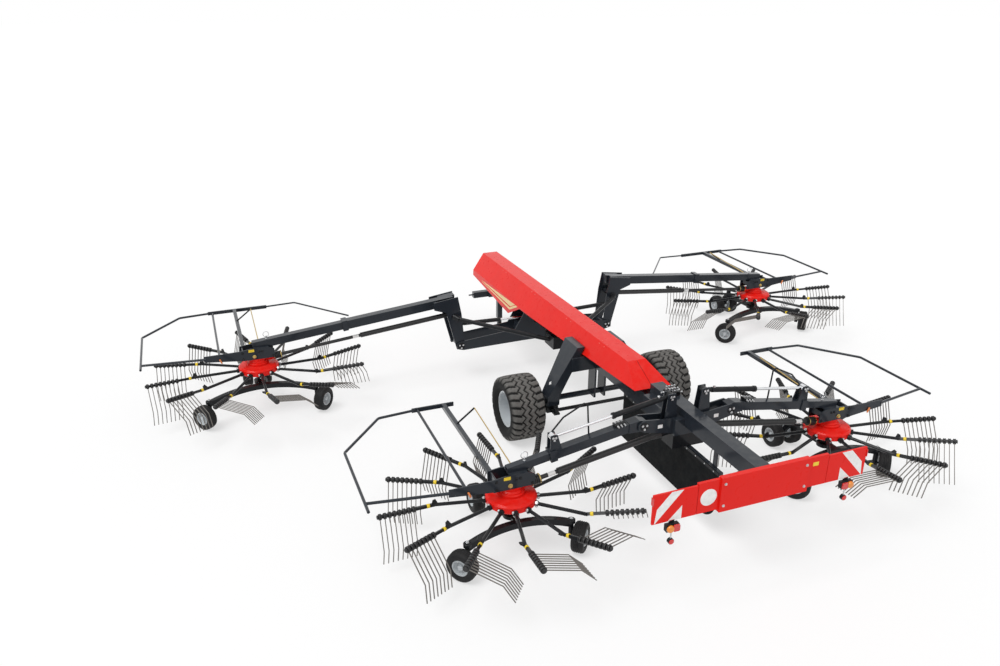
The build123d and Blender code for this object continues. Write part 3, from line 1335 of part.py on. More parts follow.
rear_barrel = cylinder_barrel(REAR.hub_x, REAR_BASE, REAR_EYE, REAR_MOUTH, REAR_BORE)
write_pair(rear_barrel, "rear_lift_barrel")
rear_rod = cylinder_rod(REAR.hub_x, REAR_EYE, REAR_BASE, REAR_ROD_REACH)
write_pair(rear_rod, "rear_lift_rod")
front_barrel = cylinder_barrel(FRONT_LIFT_X, FRONT_EYE, FRONT_BASE, FRONT_MOUTH, FRONT_BORE)
write_pair(front_barrel, "front_lift_barrel")
front_rod = cylinder_rod(FRONT_LIFT_X, FRONT_BASE, FRONT_EYE, FRONT_ROD_REACH)
write_pair(front_rod, "front_lift_rod")
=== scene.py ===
"""Rotary rake in its working position: finishes, tyres, holders, lamps and trim on the CAD frame."""
import json
import math

import bpy
import numpy as np
from mathutils import Matrix, Vector


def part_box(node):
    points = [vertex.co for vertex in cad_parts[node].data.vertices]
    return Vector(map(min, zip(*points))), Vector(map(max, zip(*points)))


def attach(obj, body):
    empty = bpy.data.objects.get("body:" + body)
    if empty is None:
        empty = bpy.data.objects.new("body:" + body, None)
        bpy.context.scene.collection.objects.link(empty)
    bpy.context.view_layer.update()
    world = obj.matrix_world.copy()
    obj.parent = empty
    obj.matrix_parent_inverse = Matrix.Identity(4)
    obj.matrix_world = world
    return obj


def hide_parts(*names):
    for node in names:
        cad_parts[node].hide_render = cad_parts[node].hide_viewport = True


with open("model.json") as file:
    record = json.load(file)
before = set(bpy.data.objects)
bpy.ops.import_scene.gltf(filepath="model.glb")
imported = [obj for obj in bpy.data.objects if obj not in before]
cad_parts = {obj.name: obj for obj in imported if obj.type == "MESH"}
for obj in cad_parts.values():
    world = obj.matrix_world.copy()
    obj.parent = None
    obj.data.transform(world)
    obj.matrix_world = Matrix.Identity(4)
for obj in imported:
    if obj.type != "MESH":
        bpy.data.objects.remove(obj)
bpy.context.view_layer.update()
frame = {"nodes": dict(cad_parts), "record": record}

# Lengths are in metres. Stations along X are counted from the line through the rear rotor hubs.
SIDES = {"left": 1, "right": -1}
CORNERS = ("front", "rear")
UPWARD = Vector((0, 0, 1))
LEFTWARD = Vector((0, 1, 0))
BEHIND = Vector((-1, 0, 0))

HUB = {}
for corner in CORNERS:
    low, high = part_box(f"{corner}_gearbox_left")
    base_radius = (high.x - low.x) / 2
    HUB[corner] = Vector(((low.x + high.x) / 2, high.y - base_radius, 0))
REAR_X = HUB["rear"].x


class Nodes:
    """A short way to build a material's node tree."""

    def __init__(self, name):
        self.material = bpy.data.materials.new(name)
        self.material.use_nodes = True
        self.tree = self.material.node_tree
        self.shader = self.tree.nodes["Principled BSDF"]

    def add(self, kind, **settings):
        node = self.tree.nodes.new(kind)
        for key, value in settings.items():
            setattr(node, key, value)
        return node

    def link(self, source, target):
        self.tree.links.new(source, target)

    def level(self, values):
        """Values that are the same all over, set on the shader's own sockets."""
        for socket, value in values.items():
            self.shader.inputs[socket].default_value = value

    def place(self):
        """Coordinates in the machine's own frame."""
        return self.add("ShaderNodeTexCoord").outputs["Object"]

    def noise(self, scale, detail=4.0):
        node = self.add("ShaderNodeTexNoise")
        node.inputs["Scale"].default_value = scale
        node.inputs["Detail"].default_value = detail
        node.inputs["Roughness"].default_value = 0.55
        self.link(self.place(), node.inputs["Vector"])
        return node.outputs["Fac"]

    def ramp(self, value, low, high, start=0.0, end=1.0):
        node = self.add("ShaderNodeMapRange")
        node.inputs["From Min"].default_value = low
        node.inputs["From Max"].default_value = high
        node.inputs["To Min"].default_value = start
        node.inputs["To Max"].default_value = end
        self.link(value, node.inputs["Value"])
        return node.outputs["Result"]

    def mix(self, factor, first, second):
        node = self.add("ShaderNodeMix", data_type="RGBA")
        self.link(factor, node.inputs["Factor"])
        for socket, value in ((node.inputs["A"], first), (node.inputs["B"], second)):
            if isinstance(value, tuple):
                socket.default_value = (*value, 1)
            else:
                self.link(value, socket)
        return node.outputs["Result"]

    def times(self, first, second):
        node = self.add("ShaderNodeMath", operation="MULTIPLY")
        self.link(first, node.inputs[0])
        if isinstance(second, float):
            node.inputs[1].default_value = second
        else:
            self.link(second, node.inputs[1])
        return node.outputs["Value"]

    def facing_up(self):
        """One on level upward faces, nought on upright ones."""
        split = self.add("ShaderNodeSeparateXYZ")
        self.link(self.add("ShaderNodeNewGeometry").outputs["Normal"], split.inputs["Vector"])
        return self.ramp(split.outputs["Z"], 0.2, 1.0)

    def finish(self, colour, roughness, bump, strength, distance, metallic=0.0, edge=0.0):
        """Join colour, roughness and bump to the shader. An edge radius softens sharp corners."""
        self.link(colour, self.shader.inputs["Base Color"])
        if isinstance(roughness, float):
            self.level({"Roughness": roughness})
        else:
            self.link(roughness, self.shader.inputs["Roughness"])
        self.level({"Metallic": metallic})
        relief = self.add("ShaderNodeBump")
        relief.inputs["Strength"].default_value = strength
        relief.inputs["Distance"].default_value = distance
        self.link(bump, relief.inputs["Height"])
        if edge:
            bevel = self.add("ShaderNodeBevel", samples=4)
            bevel.inputs["Radius"].default_value = edge
            self.link(bevel.outputs["Normal"], relief.inputs["Normal"])
        self.link(relief.outputs["Normal"], self.shader.inputs["Normal"])
        return self.material


def darker(colour, share):
    return tuple(channel * share for channel in colour)


def toward(colour, other, share):
    return tuple(a + (b - a) * share for a, b in zip(colour, other))


PAINT_COAT = {"Coat IOR": 1.3, "Coat Roughness": 0.12, "Specular IOR Level": 0.05}
PAINT_DUST = (0.46, 0.43, 0.38)
PAINT_DUST_SHARE = 0.06
PAINT_EDGE = 0.004
RUBBER_DUST = (0.2, 0.19, 0.17)
RUBBER_DUST_SHARE = 0.05
TREAD_GROOVE = (0.009, 0.009, 0.009)
TREAD_WORN = (0.155, 0.150, 0.142)


def paint(name, colour, gloss, coat):
    """Sprayed paint: slight cloudiness, orange peel, and a film of dust on level faces."""
    nodes = Nodes(name)
    cloud = nodes.ramp(nodes.noise(scale=2.2), 0.3, 0.7)
    base = nodes.mix(cloud, darker(colour, 0.93), colour)
    patches = nodes.ramp(nodes.noise(scale=9.0, detail=6.0), 0.42, 0.8)
    film = nodes.times(nodes.times(patches, nodes.facing_up()), PAINT_DUST_SHARE)
    dusty = nodes.mix(film, base, PAINT_DUST)
    rough = nodes.ramp(nodes.noise(scale=14.0), 0.3, 0.75, gloss - 0.05, gloss + 0.1)
    nodes.level({"Coat Weight": coat, **PAINT_COAT})
    peel = nodes.noise(scale=160.0, detail=2.0)
    return nodes.finish(dusty, rough, peel, strength=0.02, distance=0.0004, edge=PAINT_EDGE)


def rubber(name, colour, rough, specular=0.2):
    """Dull rubber with a fine grain and paler, dusty patches."""
    nodes = Nodes(name)
    patch = nodes.ramp(nodes.noise(scale=7.0, detail=6.0), 0.35, 0.75)
    base = nodes.mix(patch, colour, toward(colour, RUBBER_DUST, RUBBER_DUST_SHARE))
    nodes.level({"Specular IOR Level": specular})
    roughness = nodes.ramp(nodes.noise(scale=30.0), 0.3, 0.7, rough - 0.08, rough + 0.08)
    grain = nodes.noise(scale=320.0, detail=3.0)
    return nodes.finish(base, roughness, grain, strength=0.25, distance=0.0008)


def tread_rubber():
    """Tyre rubber whose lug tops are worn to a dusty grey, by the mesh's own wear value."""
    nodes = Nodes("tread_rubber")
    wear = nodes.add("ShaderNodeAttribute", attribute_name="wear").outputs["Fac"]
    patches = nodes.ramp(nodes.noise(scale=24.0, detail=6.0), 0.2, 0.7, 0.55, 1.0)
    base = nodes.mix(nodes.times(wear, patches), TREAD_GROOVE, TREAD_WORN)
    nodes.level({"Specular IOR Level": 0.2})
    grain = nodes.noise(scale=260.0, detail=3.0)
    return nodes.finish(base, 0.78, grain, strength=0.3, distance=0.001)


def metal(name, colour, rough, metallic=1.0):
    """Bare or plated metal with fine streaks in its polish."""
    nodes = Nodes(name)
    streaks = nodes.noise(scale=60.0, detail=5.0)
    base = nodes.mix(nodes.ramp(streaks, 0.3, 0.7), darker(colour, 0.8), colour)
    roughness = nodes.ramp(streaks, 0.3, 0.7, rough, rough + 0.12)
    return nodes.finish(base, roughness, streaks, strength=0.05, distance=0.0004, metallic=metallic)


def plastic(name, colour, rough):
    """Moulded plastic with a fine texture."""
    nodes = Nodes(name)
    base = nodes.mix(nodes.ramp(nodes.noise(scale=18.0), 0.3, 0.7), darker(colour, 0.85), colour)
    grain = nodes.noise(scale=600.0, detail=2.0)
    return nodes.finish(base, rough, grain, strength=0.12, distance=0.0004)


def lens(name, colour):
    """Ribbed lamp glass: clear colour over fine prisms."""
    nodes = Nodes(name)
    wave = nodes.add("ShaderNodeTexWave", wave_type="BANDS", bands_direction="Y")
    wave.inputs["Scale"].default_value = 60.0
    nodes.link(nodes.place(), wave.inputs["Vector"])
    ribs = wave.outputs["Fac"]
    base = nodes.mix(ribs, darker(colour, 0.7), colour)
    nodes.level({"Coat Weight": 0.6})
    return nodes.finish(base, 0.2, ribs, strength=0.35, distance=0.001)


RED = paint("red_paint", (0.77, 0.013, 0.008), gloss=0.30, coat=0.40)
GRAPHITE = paint("graphite_paint", (0.020, 0.025, 0.033), gloss=0.34, coat=1.0)
BLACK = paint("black_paint", (0.011, 0.012, 0.014), gloss=0.40, coat=0.6)
# Rivet heads: the hood's red lifted to a pale pink, a painted highlight on their domed heads
RIVET_PAINTED_HIGHLIGHT = paint("rivet_painted_highlight", (0.85, 0.16, 0.13), gloss=0.35, coat=0.8)
SEAM_RED = paint("seam_red", (0.20, 0.004, 0.003), gloss=0.50, coat=0.2)
SILVER = paint("rim_silver", (0.50, 0.53, 0.55), gloss=0.34, coat=0.8)
TYRE = rubber("tyre_rubber", (0.013, 0.013, 0.014), 0.62)
TREAD = tread_rubber()
CURTAIN = rubber("curtain_rubber", (0.004, 0.005, 0.006), 0.60, specular=0.05)
CHROME = metal("chrome", (0.82, 0.83, 0.85), 0.08)
TINE_STEEL = metal("tine_steel", (0.20, 0.185, 0.17), 0.38, metallic=0.6)
ZINC = metal("zinc", (0.62, 0.63, 0.64), 0.28)
BRASS = metal("brass", (0.60, 0.44, 0.16), 0.30)
PEG = plastic("peg_orange", (0.78, 0.24, 0.07), 0.40)
HOLDER = plastic("holder_plastic", (0.012, 0.012, 0.013), 0.42)
LABEL_WHITE = plastic("label_white", (0.88, 0.88, 0.87), 0.45)
LABEL_YELLOW = plastic("label_yellow", (0.86, 0.62, 0.02), 0.42)
CHEVRON = plastic("chevron_cream", (0.90, 0.66, 0.30), 0.40)
AMBER = lens("amber_lens", (0.90, 0.28, 0.01))
RUBY = lens("ruby_lens", (0.72, 0.012, 0.010))

SLOT_FINISH = {
    "red_paint": RED,
    "graphite_paint": GRAPHITE,
    "black_paint": BLACK,
    "tyre": TYRE,
    "rim_silver": SILVER,
    "chrome": CHROME,
    "rotor_steel": BLACK,
    "curtain_rubber": CURTAIN,
}
for subpart in frame["record"]["subparts"]:
    mesh = frame["nodes"][subpart["node"]].data
    mesh.materials.clear()
    mesh.materials.append(SLOT_FINISH[subpart["material_slot"]])


class Shape:
    """Vertices and faces that are gathered from simple forms and made into one mesh."""

    def __init__(self):
        self.points = []
        self.faces = []
        self.finish = []

    def add(self, points, faces, finish=0):
        first = len(self.points)
        self.points += [Vector(point) for point in points]
        self.faces += [[first + index for index in face] for face in faces]
        self.finish += [finish] * len(faces)

    def lathe(self, profile, origin, axis, steps=32, finish=0, closed=False):
        """Turn (radius, distance) points about an axis. A closed profile makes a ring."""
        axis = Vector(axis).normalized()
        across = axis.orthogonal().normalized()
        other = axis.cross(across)
        points = []
        for step in range(steps):
            angle = math.tau * step / steps
            out = across * math.cos(angle) + other * math.sin(angle)
            points += [Vector(origin) + out * radius + axis * along for radius, along in profile]
        count = len(profile)
        spans = count if closed else count - 1
        faces = []
        for step in range(steps):
            here = step * count
            there = (step + 1) % steps * count
            for index in range(spans):
                after = (index + 1) % count
                faces.append((here + index, there + index, there + after, here + after))
        if not closed:
            faces.append([step * count for step in reversed(range(steps))])
            faces.append([step * count + count - 1 for step in range(steps)])
        self.add(points, faces, finish)

    def tube(self, path, radius, sides, finish=0):
        """A round tube along a list of points."""
        path = [Vector(point) for point in path]
        across = (path[1] - path[0]).orthogonal().normalized()
        points = []
        for index, point in enumerate(path):
            before = path[max(index - 1, 0)]
            after = path[min(index + 1, len(path) - 1)]
            along = (after - before).normalized()
            across = (across - along * across.dot(along)).normalized()
            other = along.cross(across)
            for side in range(sides):
                angle = math.tau * side / sides
                points.append(point + (across * math.cos(angle) + other * math.sin(angle)) * radius)
        faces = []
        last = (len(path) - 1) * sides
        for ring in range(0, last, sides):
            for side in range(sides):
                after = (side + 1) % sides
                faces.append((ring + side, ring + after, ring + sides + after, ring + sides + side))
        faces.append(list(reversed(range(sides))))
        faces.append([last + side for side in range(sides)])
        self.add(points, faces, finish)

    def plate(self, outline, thickness, place, finish=0):
        """An outline in the XY plane of a placement, given a thickness along its Z."""
        count = len(outline)
        points = [place @ Vector((x, y, 0)) for x, y in outline]
        points += [place @ Vector((x, y, thickness)) for x, y in outline]
        faces = [list(reversed(range(count))), [count + index for index in range(count)]]
        for index in range(count):
            after = (index + 1) % count
            faces.append((index, after, count + after, count + index))
        self.add(points, faces, finish)

    def bolt(self, origin, axis, size, finish=0):
        """Hexagon head on a washer. The size is the head's width across corners."""
        height = size * 0.38
        washer = size * 0.12
        washer_edge = [(size * 0.68, 0), (size * 0.68, washer * 0.7), (size * 0.62, washer)]
        self.lathe(washer_edge, origin, axis, 16, finish)
        seat = Vector(origin) + Vector(axis).normalized() * washer * 0.9
        head = [(size / 2, 0), (size / 2, height * 0.8), (size * 0.42, height)]
        self.lathe(head, seat, axis, 6, finish)

    def mirrored(self):
        """The same shape on the other side of the machine."""
        other = Shape()
        other.points = [Vector((point.x, -point.y, point.z)) for point in self.points]
        other.faces = [list(reversed(face)) for face in self.faces]
        other.finish = list(self.finish)
        return other

    def piece(self, name, body, slot, finishes, bevel=0.0, smooth=35.0):
        """Make the mesh, give it its finishes and let it ride on a body."""
        mesh = bpy.data.meshes.new(name)
        mesh.from_pydata(self.points, [], self.faces)
        for material in finishes:
            mesh.materials.append(material)
        mesh.polygons.foreach_set("material_index", self.finish)
        mesh.polygons.foreach_set("use_smooth", [True] * len(mesh.polygons))
        mesh.set_sharp_from_angle(angle=math.radians(smooth))
        thing = bpy.data.objects.new(name, mesh)
        bpy.context.scene.collection.objects.link(thing)
        if bevel:
            rounding = thing.modifiers.new("edges", "BEVEL")
            rounding.width = bevel
            rounding.segments = 2
            rounding.limit_method = "ANGLE"
        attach(thing, body)
        return thing


def on_both_sides(shape, name, body, slot, finishes, **settings):
    """Make a left-hand piece and its mirror image, on the chassis or on the bodies of either side."""
    pieces = {}
    for side, form in (("left", shape), ("right", shape.mirrored())):
        carrier = body if body == "chassis" else f"{body}_{side}"
        pieces[side] = form.piece(f"{name}_{side}", carrier, slot, finishes, **settings)
    return pieces


def at(x, y, z):
    """A point at a station counted from the rear hubs."""
    return Vector((REAR_X + x, y, z))


def facing(origin, normal, up=UPWARD):
    """A placement whose Z is a surface's normal and whose Y points up."""
    normal = Vector(normal).normalized()
    across = Vector(up).cross(normal).normalized()
    upward = normal.cross(across)
    rotation = Matrix((across, upward, normal)).transposed().to_4x4()
    return Matrix.Translation(origin) @ rotation


def rectangle(width, height, round_share=0.2):
    """A rectangle about its centre with rounded corners."""
    steps = 4
    radius = min(width, height) * round_share
    outline = []
    for turn, (sx, sy) in enumerate(((1, 1), (-1, 1), (-1, -1), (1, -1))):
        centre = (sx * (width / 2 - radius), sy * (height / 2 - radius))
        for step in range(steps + 1):
            angle = math.pi / 2 * (turn + step / steps)
            outline.append((centre[0] + radius * math.cos(angle), centre[1] + radius * math.sin(angle)))
    return outline


def hoop(radius, thickness, width):
    """Section of a band round a shaft, for turning."""
    outer = radius + thickness
    return [(radius, -width / 2), (outer, -width / 2), (outer, width / 2), (radius, width / 2)]


FILM = 0.0012


def label(shape, place, normal, size, finish):
    """A plain sticker with rounded corners."""
    shape.plate(rectangle(*size, 0.12), FILM, facing(place, normal), finish)


def colour_faces(node, finishes, choose):
    """Give each face of a CAD piece one of several finishes by where its centre lies."""
    mesh = frame["nodes"][node].data
    mesh.materials.clear()
    for material in finishes:
        mesh.materials.append(material)
    centres = np.zeros(len(mesh.polygons) * 3)
    mesh.polygons.foreach_get("center", centres)
    mesh.polygons.foreach_set("material_index", choose(centres.reshape(-1, 3)).astype(np.int32))


# Main tyres: zigzag grooves round the tread and slanted shoulder lugs. Places across run from -1 to 1
TYRE_PITCHES = 26
PITCH_STEPS = 12
TREAD_DEPTH = 0.020
GROOVES = (-0.36, 0.0, 0.36)
GROOVE_EDGE = (0.030, 0.065)
ZIGZAG = 0.20
LUG_SLANT = 0.55
LUG_EDGE = (0.13, 0.20)
SHOULDER = 0.50
CROWN_STEPS = 44
CROWN_INSET = 0.040
CROWN_DROP = 0.012


def smooth_step(value, low, high):
    share = np.clip((value - low) / (high - low), 0, 1)
    return share * share * (3 - 2 * share)


def tread_height(turn, across):
    """Lug height from 0 in a groove to 1 on top, at a turn in pitches and a place across."""
    zigzag = np.abs((turn % 1.0) * 2 - 1) * ZIGZAG - ZIGZAG / 2
    height = np.ones_like(turn)
    for line in GROOVES:
        height *= smooth_step(np.abs(across - line - zigzag), *GROOVE_EDGE)
    side = np.abs(across)
    stagger = np.where(across > 0, 0.0, 0.5)
    slant = (turn + stagger + LUG_SLANT * side) % 1.0
    lug = smooth_step(np.abs(slant - 0.5), *LUG_EDGE)
    return height * np.where(side > SHOULDER, lug, 1.0)


def tyre_section(width, radius, bead_width, bead_radius):
    """Points of a tyre's section as (across, radius, tread share), from bead to bead over the tread."""
    half = width / 2
    side_points = [
        (bead_width / 2, bead_radius, 0.0),
        (bead_width / 2 + 0.010, bead_radius + 0.018, 0.0),
        (half - 0.010, bead_radius + 0.055, 0.0),
        (half, bead_radius + 0.100, 0.0),
        (half - 0.001, radius - 0.090, 0.0),
        (half - 0.008, radius - 0.055, 0.5),
        (half - 0.022, radius - 0.026, 1.0),
    ]
    edge = half - CROWN_INSET
    crown = []
    for index in range(CROWN_STEPS + 1):
        share = 1 - 2 * index / CROWN_STEPS
        crown.append((edge * share, radius - CROWN_DROP * share**4, 1.0))
    other = [(-across, height, tread) for across, height, tread in reversed(side_points)]
    return side_points + crown + other


def build_main_tyre(side):
    """Replace the plain tyre by one with lugs that keep its outer radius and width."""
    node = f"main_tyre_{side}"
    low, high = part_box(node)
    centre = (low + high) / 2
    radius = (high.z - low.z) / 2
    width = high.y - low.y
    rim_low, rim_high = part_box(f"main_rim_{side}")
    rim_radius = (rim_high.z - rim_low.z) / 2
    section = np.array(tyre_section(width, radius, rim_high.y - rim_low.y, rim_radius))
    steps = TYRE_PITCHES * PITCH_STEPS
    turn = np.arange(steps) / PITCH_STEPS
    grid_turn, grid_across = np.meshgrid(turn, section[:, 0] / (width / 2), indexing="ij")
    lug = tread_height(grid_turn, grid_across)
    tread = section[:, 2][None, :]
    radii = section[:, 1][None, :] - TREAD_DEPTH * (1 - lug) * tread
    angle = (turn * math.tau / TYRE_PITCHES)[:, None]
    xs = centre.x + radii * np.cos(angle)
    zs = centre.z + radii * np.sin(angle)
    ys = np.broadcast_to(centre.y + section[:, 0][None, :], xs.shape)
    points = np.stack([xs, ys, zs], axis=-1).reshape(-1, 3)
    count = len(section)
    faces = []
    for step in range(steps):
        here = step * count
        there = (step + 1) % steps * count
        for index in range(count):
            after = (index + 1) % count
            faces.append((here + index, here + after, there + after, there + index))
    shape = Shape()
    shape.add(points.tolist(), faces)
    piece = shape.piece(f"main_tyre_tread_{side}", f"main_wheel_{side}", "tyre", [TREAD], smooth=50)
    wear = piece.data.attributes.new("wear", "FLOAT", "POINT")
    wear.data.foreach_set("value", (lug * tread).astype(np.float32).ravel())
    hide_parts(node)


for side in SIDES:
    build_main_tyre(side)

# Hubs of the main wheels: cap and bolt circle
WHEEL_FACE = 0.070
WHEEL_CAP = [(0.060, 0), (0.060, 0.030), (0.050, 0.045), (0.020, 0.050)]
WHEEL_BOLTS = 8
WHEEL_BOLT = 0.026
WHEEL_BOLT_CIRCLE = 0.095
for side, sign in SIDES.items():
    low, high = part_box(f"main_rim_{side}")
    centre = (low + high) / 2
    face_y = centre.y + sign * WHEEL_FACE
    outward = LEFTWARD * sign
    hub = Shape()
    hub.lathe(WHEEL_CAP, (centre.x, face_y, centre.z), outward, 32, 0)
    for index in range(WHEEL_BOLTS):
        angle = math.tau * index / WHEEL_BOLTS
        x = centre.x + WHEEL_BOLT_CIRCLE * math.cos(angle)
        z = centre.z + WHEEL_BOLT_CIRCLE * math.sin(angle)
        hub.bolt((x, face_y, z), outward, WHEEL_BOLT, 1)
    hub.piece(f"main_hub_{side}", f"main_wheel_{side}", "rim_silver", [BLACK, ZINC])

# Rotor wheels: grooved tyre on a dished rim, and a bearing over each castor's stem
SMALL_WIDTH = 0.165
SMALL_GROOVES = (-0.30, 0.0, 0.30)
SMALL_GROOVE_DEPTH = 0.006
RIM_SHARE = 0.56
DISH_DEPTH = 0.072
RIM_BOLTS = 5
RIM_BOLT = 0.020
RIM_BOLT_CIRCLE = 0.070
TOE = math.radians(42)
WHEEL_AXIS = {
    "outer": Vector((-math.sin(TOE), math.cos(TOE), 0)),
    "inner": Vector((-math.sin(TOE), -math.cos(TOE), 0)),
}
STEM_OFFSET = 0.125
STEM_TOP = 0.448
STEM_BEARING = [(0.052, -0.060), (0.052, -0.016), (0.044, -0.008), (0.030, -0.006), (0.030, 0)]
STEM_BOLT = 0.034


def small_wheel(tyre, rim, centre, radius, axis):
    """Add one rotor wheel's tyre and rim to two shapes. The axis points out of the dish."""
    half = SMALL_WIDTH / 2
    rim_radius = radius * RIM_SHARE
    tread = radius - 0.002
    wall = [
        (rim_radius - 0.004, -half + 0.016),
        (rim_radius + 0.014, -half + 0.003),
        (radius - 0.050, -half),
        (radius - 0.026, -half + 0.004),
        (radius - 0.010, -half + 0.016),
    ]
    profile = list(wall)
    for groove in SMALL_GROOVES:
        along = groove * half
        profile += [
            (tread, along - 0.011),
            (tread - SMALL_GROOVE_DEPTH, along - 0.006),
            (tread - SMALL_GROOVE_DEPTH, along + 0.006),
            (tread, along + 0.011),
        ]
    profile += [(around, -along) for around, along in reversed(wall)]
    tyre.lathe(profile, centre, axis, 56, 0, closed=True)
    dish = [
        (rim_radius - 0.004, half - DISH_DEPTH - 0.008),
        (rim_radius - 0.004, half - 0.016),
        (rim_radius - 0.010, half - 0.010),
        (rim_radius - 0.020, half - 0.014),
        (rim_radius - 0.026, half - 0.050),
        (rim_radius - 0.040, half - 0.066),
        (0.058, half - DISH_DEPTH),
        (0.046, half - 0.058),
        (0.036, half - 0.052),
        (0.034, half - 0.024),
        (0.010, half - 0.018),
    ]
    for outward in (axis, -axis):
        rim.lathe(dish, centre, outward, 40, 0)
    forward = UPWARD.cross(axis)
    for index in range(RIM_BOLTS):
        angle = math.tau * index / RIM_BOLTS
        out = forward * math.cos(angle) + UPWARD * math.sin(angle)
        seat = Vector(centre) + out * RIM_BOLT_CIRCLE
        rim.bolt(seat + axis * (half - DISH_DEPTH), axis, RIM_BOLT, 1)


for corner in CORNERS:
    bearings = Shape()
    for place in ("outer", "inner", "twin"):
        node = f"{corner}_{place}_wheel"
        low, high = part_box(f"{node}_left")
        centre = (low + high) / 2
        radius = (high.z - low.z) / 2
        tyre = Shape()
        rim = Shape()
        if place == "twin":
            for sign, y in ((1, high.y - SMALL_WIDTH / 2), (-1, low.y + SMALL_WIDTH / 2)):
                small_wheel(tyre, rim, (centre.x, y, centre.z), radius, LEFTWARD * sign)
        else:
            axis = WHEEL_AXIS[place]
            small_wheel(tyre, rim, centre, radius, axis)
            stem = centre - axis * STEM_OFFSET
            stem.z = STEM_TOP
            bearings.lathe(STEM_BEARING, stem, UPWARD, 24, 0)
            bearings.bolt(stem, UPWARD, STEM_BOLT, 1)
        tyres = on_both_sides(tyre, f"{node}_tyre", node, "tyre", [TYRE], smooth=40)
        on_both_sides(rim, f"{node}_rim", node, "rim_silver", [SILVER, ZINC], smooth=40)
        for side, piece in tyres.items():
            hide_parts(f"{node}_{side}")
    on_both_sides(bearings, f"{corner}_castor_bearings", f"{corner}_head", "black_paint", [BLACK, ZINC])

# Tine rotors: the arms leave the hub at ARM_Z, bend at the crank and carry tines to the tip
ARM_COUNT = 12
ARM_Z = 0.710
TIP_RADIUS = {"front": 1.750, "rear": 1.640}
FIRST_ARM = {
    ("front", "left"): 1.0,
    ("front", "right"): 1.0,
    ("rear", "left"): 18.0,
    ("rear", "right"): 8.0,
}
CAM_START = 18.0
CAM_ROLL = (0, 0, 4, 28, 58, 66, 70, 46, 18, 4, 0, 0)
CRANK_SHARE = 0.58
CRANK_LEAN = math.radians(15)
TINES_PER_ARM = 8
TINE_START_SHARE = 0.36
TINE_END = 0.030
TINE_SIZE = 0.010
TINE_BAR = 0.036
HUB_RADIUS = 0.320
HUB_MARGIN = 0.002
TINE_INNER_SHARE = CRANK_SHARE + 0.03


def cam_roll(angle):
    """Roll of a tine arm at its place round the circle, read between the cam's stations."""
    pitch = 360 / len(CAM_ROLL)
    station, share = divmod((angle - CAM_START) % 360 / pitch, 1)
    first = CAM_ROLL[int(station)]
    last = CAM_ROLL[(int(station) + 1) % len(CAM_ROLL)]
    return first + (last - first) * share


class TineArm:
    """One arm's own axes: out from the hub, round the circle, and up from the bar as it is rolled."""

    def __init__(self, corner, side, index):
        place = FIRST_ARM[corner, side] + index * 360 / ARM_COUNT
        angle = math.radians(place)
        roll = math.radians(cam_roll(place))
        self.origin = HUB[corner] + UPWARD * ARM_Z
        self.out = Vector((math.cos(angle), math.sin(angle), 0))
        level = UPWARD.cross(self.out)
        self.up = UPWARD * math.cos(roll) - level * math.sin(roll)
        self.round = self.up.cross(self.out)
        tip = TIP_RADIUS[corner]
        self.crank = tip * CRANK_SHARE
        reach = self.crank * math.cos(CRANK_LEAN)
        self.length = math.sqrt(reach**2 + tip**2 - self.crank**2) - reach
        self.bar = self.out * math.cos(CRANK_LEAN) + self.round * math.sin(CRANK_LEAN)

    def on_tube(self, distance):
        return self.origin + self.out * distance

    def on_bar(self, distance):
        return self.on_tube(self.crank) + self.bar * distance

    def tine_places(self):
        first = self.length * TINE_START_SHARE
        pitch = (self.length - TINE_END - first) / (TINES_PER_ARM - 1)
        return [first + index * pitch + TINE_SIZE / 2 for index in range(TINES_PER_ARM)]


def rotor_finish(corner, side):
    """Chooser of a rotor's faces: red hub, black arms, bare steel tines outside the crank."""

    def choose(centres):
        centres = centres * np.array((1, SIDES[side], 1))
        near = np.full(len(centres), np.inf)
        for index in range(ARM_COUNT):
            arm = TineArm(corner, side, index)
            tube = (arm.origin, arm.out, arm.crank)
            bar = (arm.on_tube(arm.crank), arm.bar, arm.length)
            for start, along, length in (tube, bar):
                offset = centres - np.array(start)
                reach = np.clip(offset @ np.array(along), 0, length)
                away = np.linalg.norm(offset - reach[:, None] * np.array(along), axis=1)
                near = np.minimum(near, away)
        radius = np.linalg.norm(centres[:, :2] - np.array(HUB[corner][:2]), axis=1)
        tine = (near > TINE_BAR) & (radius >= TIP_RADIUS[corner] * TINE_INNER_SHARE)
        return np.where(radius < HUB_RADIUS + HUB_MARGIN, 0, np.where(tine, 2, 1))

    return choose


KNOB_LENGTH = 0.036
KNOB_PROFILE = [
    (0.022, -0.5), (0.034, -0.5), (0.039, -0.36), (0.039, -0.10), (0.034, -0.03),
    (0.034, 0.03), (0.039, 0.10), (0.039, 0.36), (0.034, 0.5), (0.022, 0.5),
]
KNOB = [(radius, along * KNOB_LENGTH) for radius, along in KNOB_PROFILE]
BAR_CAP = [(0.020, 0), (0.026, 0.004), (0.026, 0.012), (0.018, 0.018)]
ROOT_COLLAR = [(0.024, 0), (0.036, 0.004), (0.036, 0.034), (0.024, 0.040)]
ROOT_BOLT_OUT = 0.018
ROOT_BOLT_SEAT = 0.034
ROOT_BOLT_TOP = 0.034
ROOT_BOLT_SIDE = 0.030
ARM_BAND = [(0.0255, 0), (0.0268, 0.002), (0.0268, 0.036), (0.0255, 0.038)]
ARM_BAND_PLACE = 0.055
SINK = 0.004


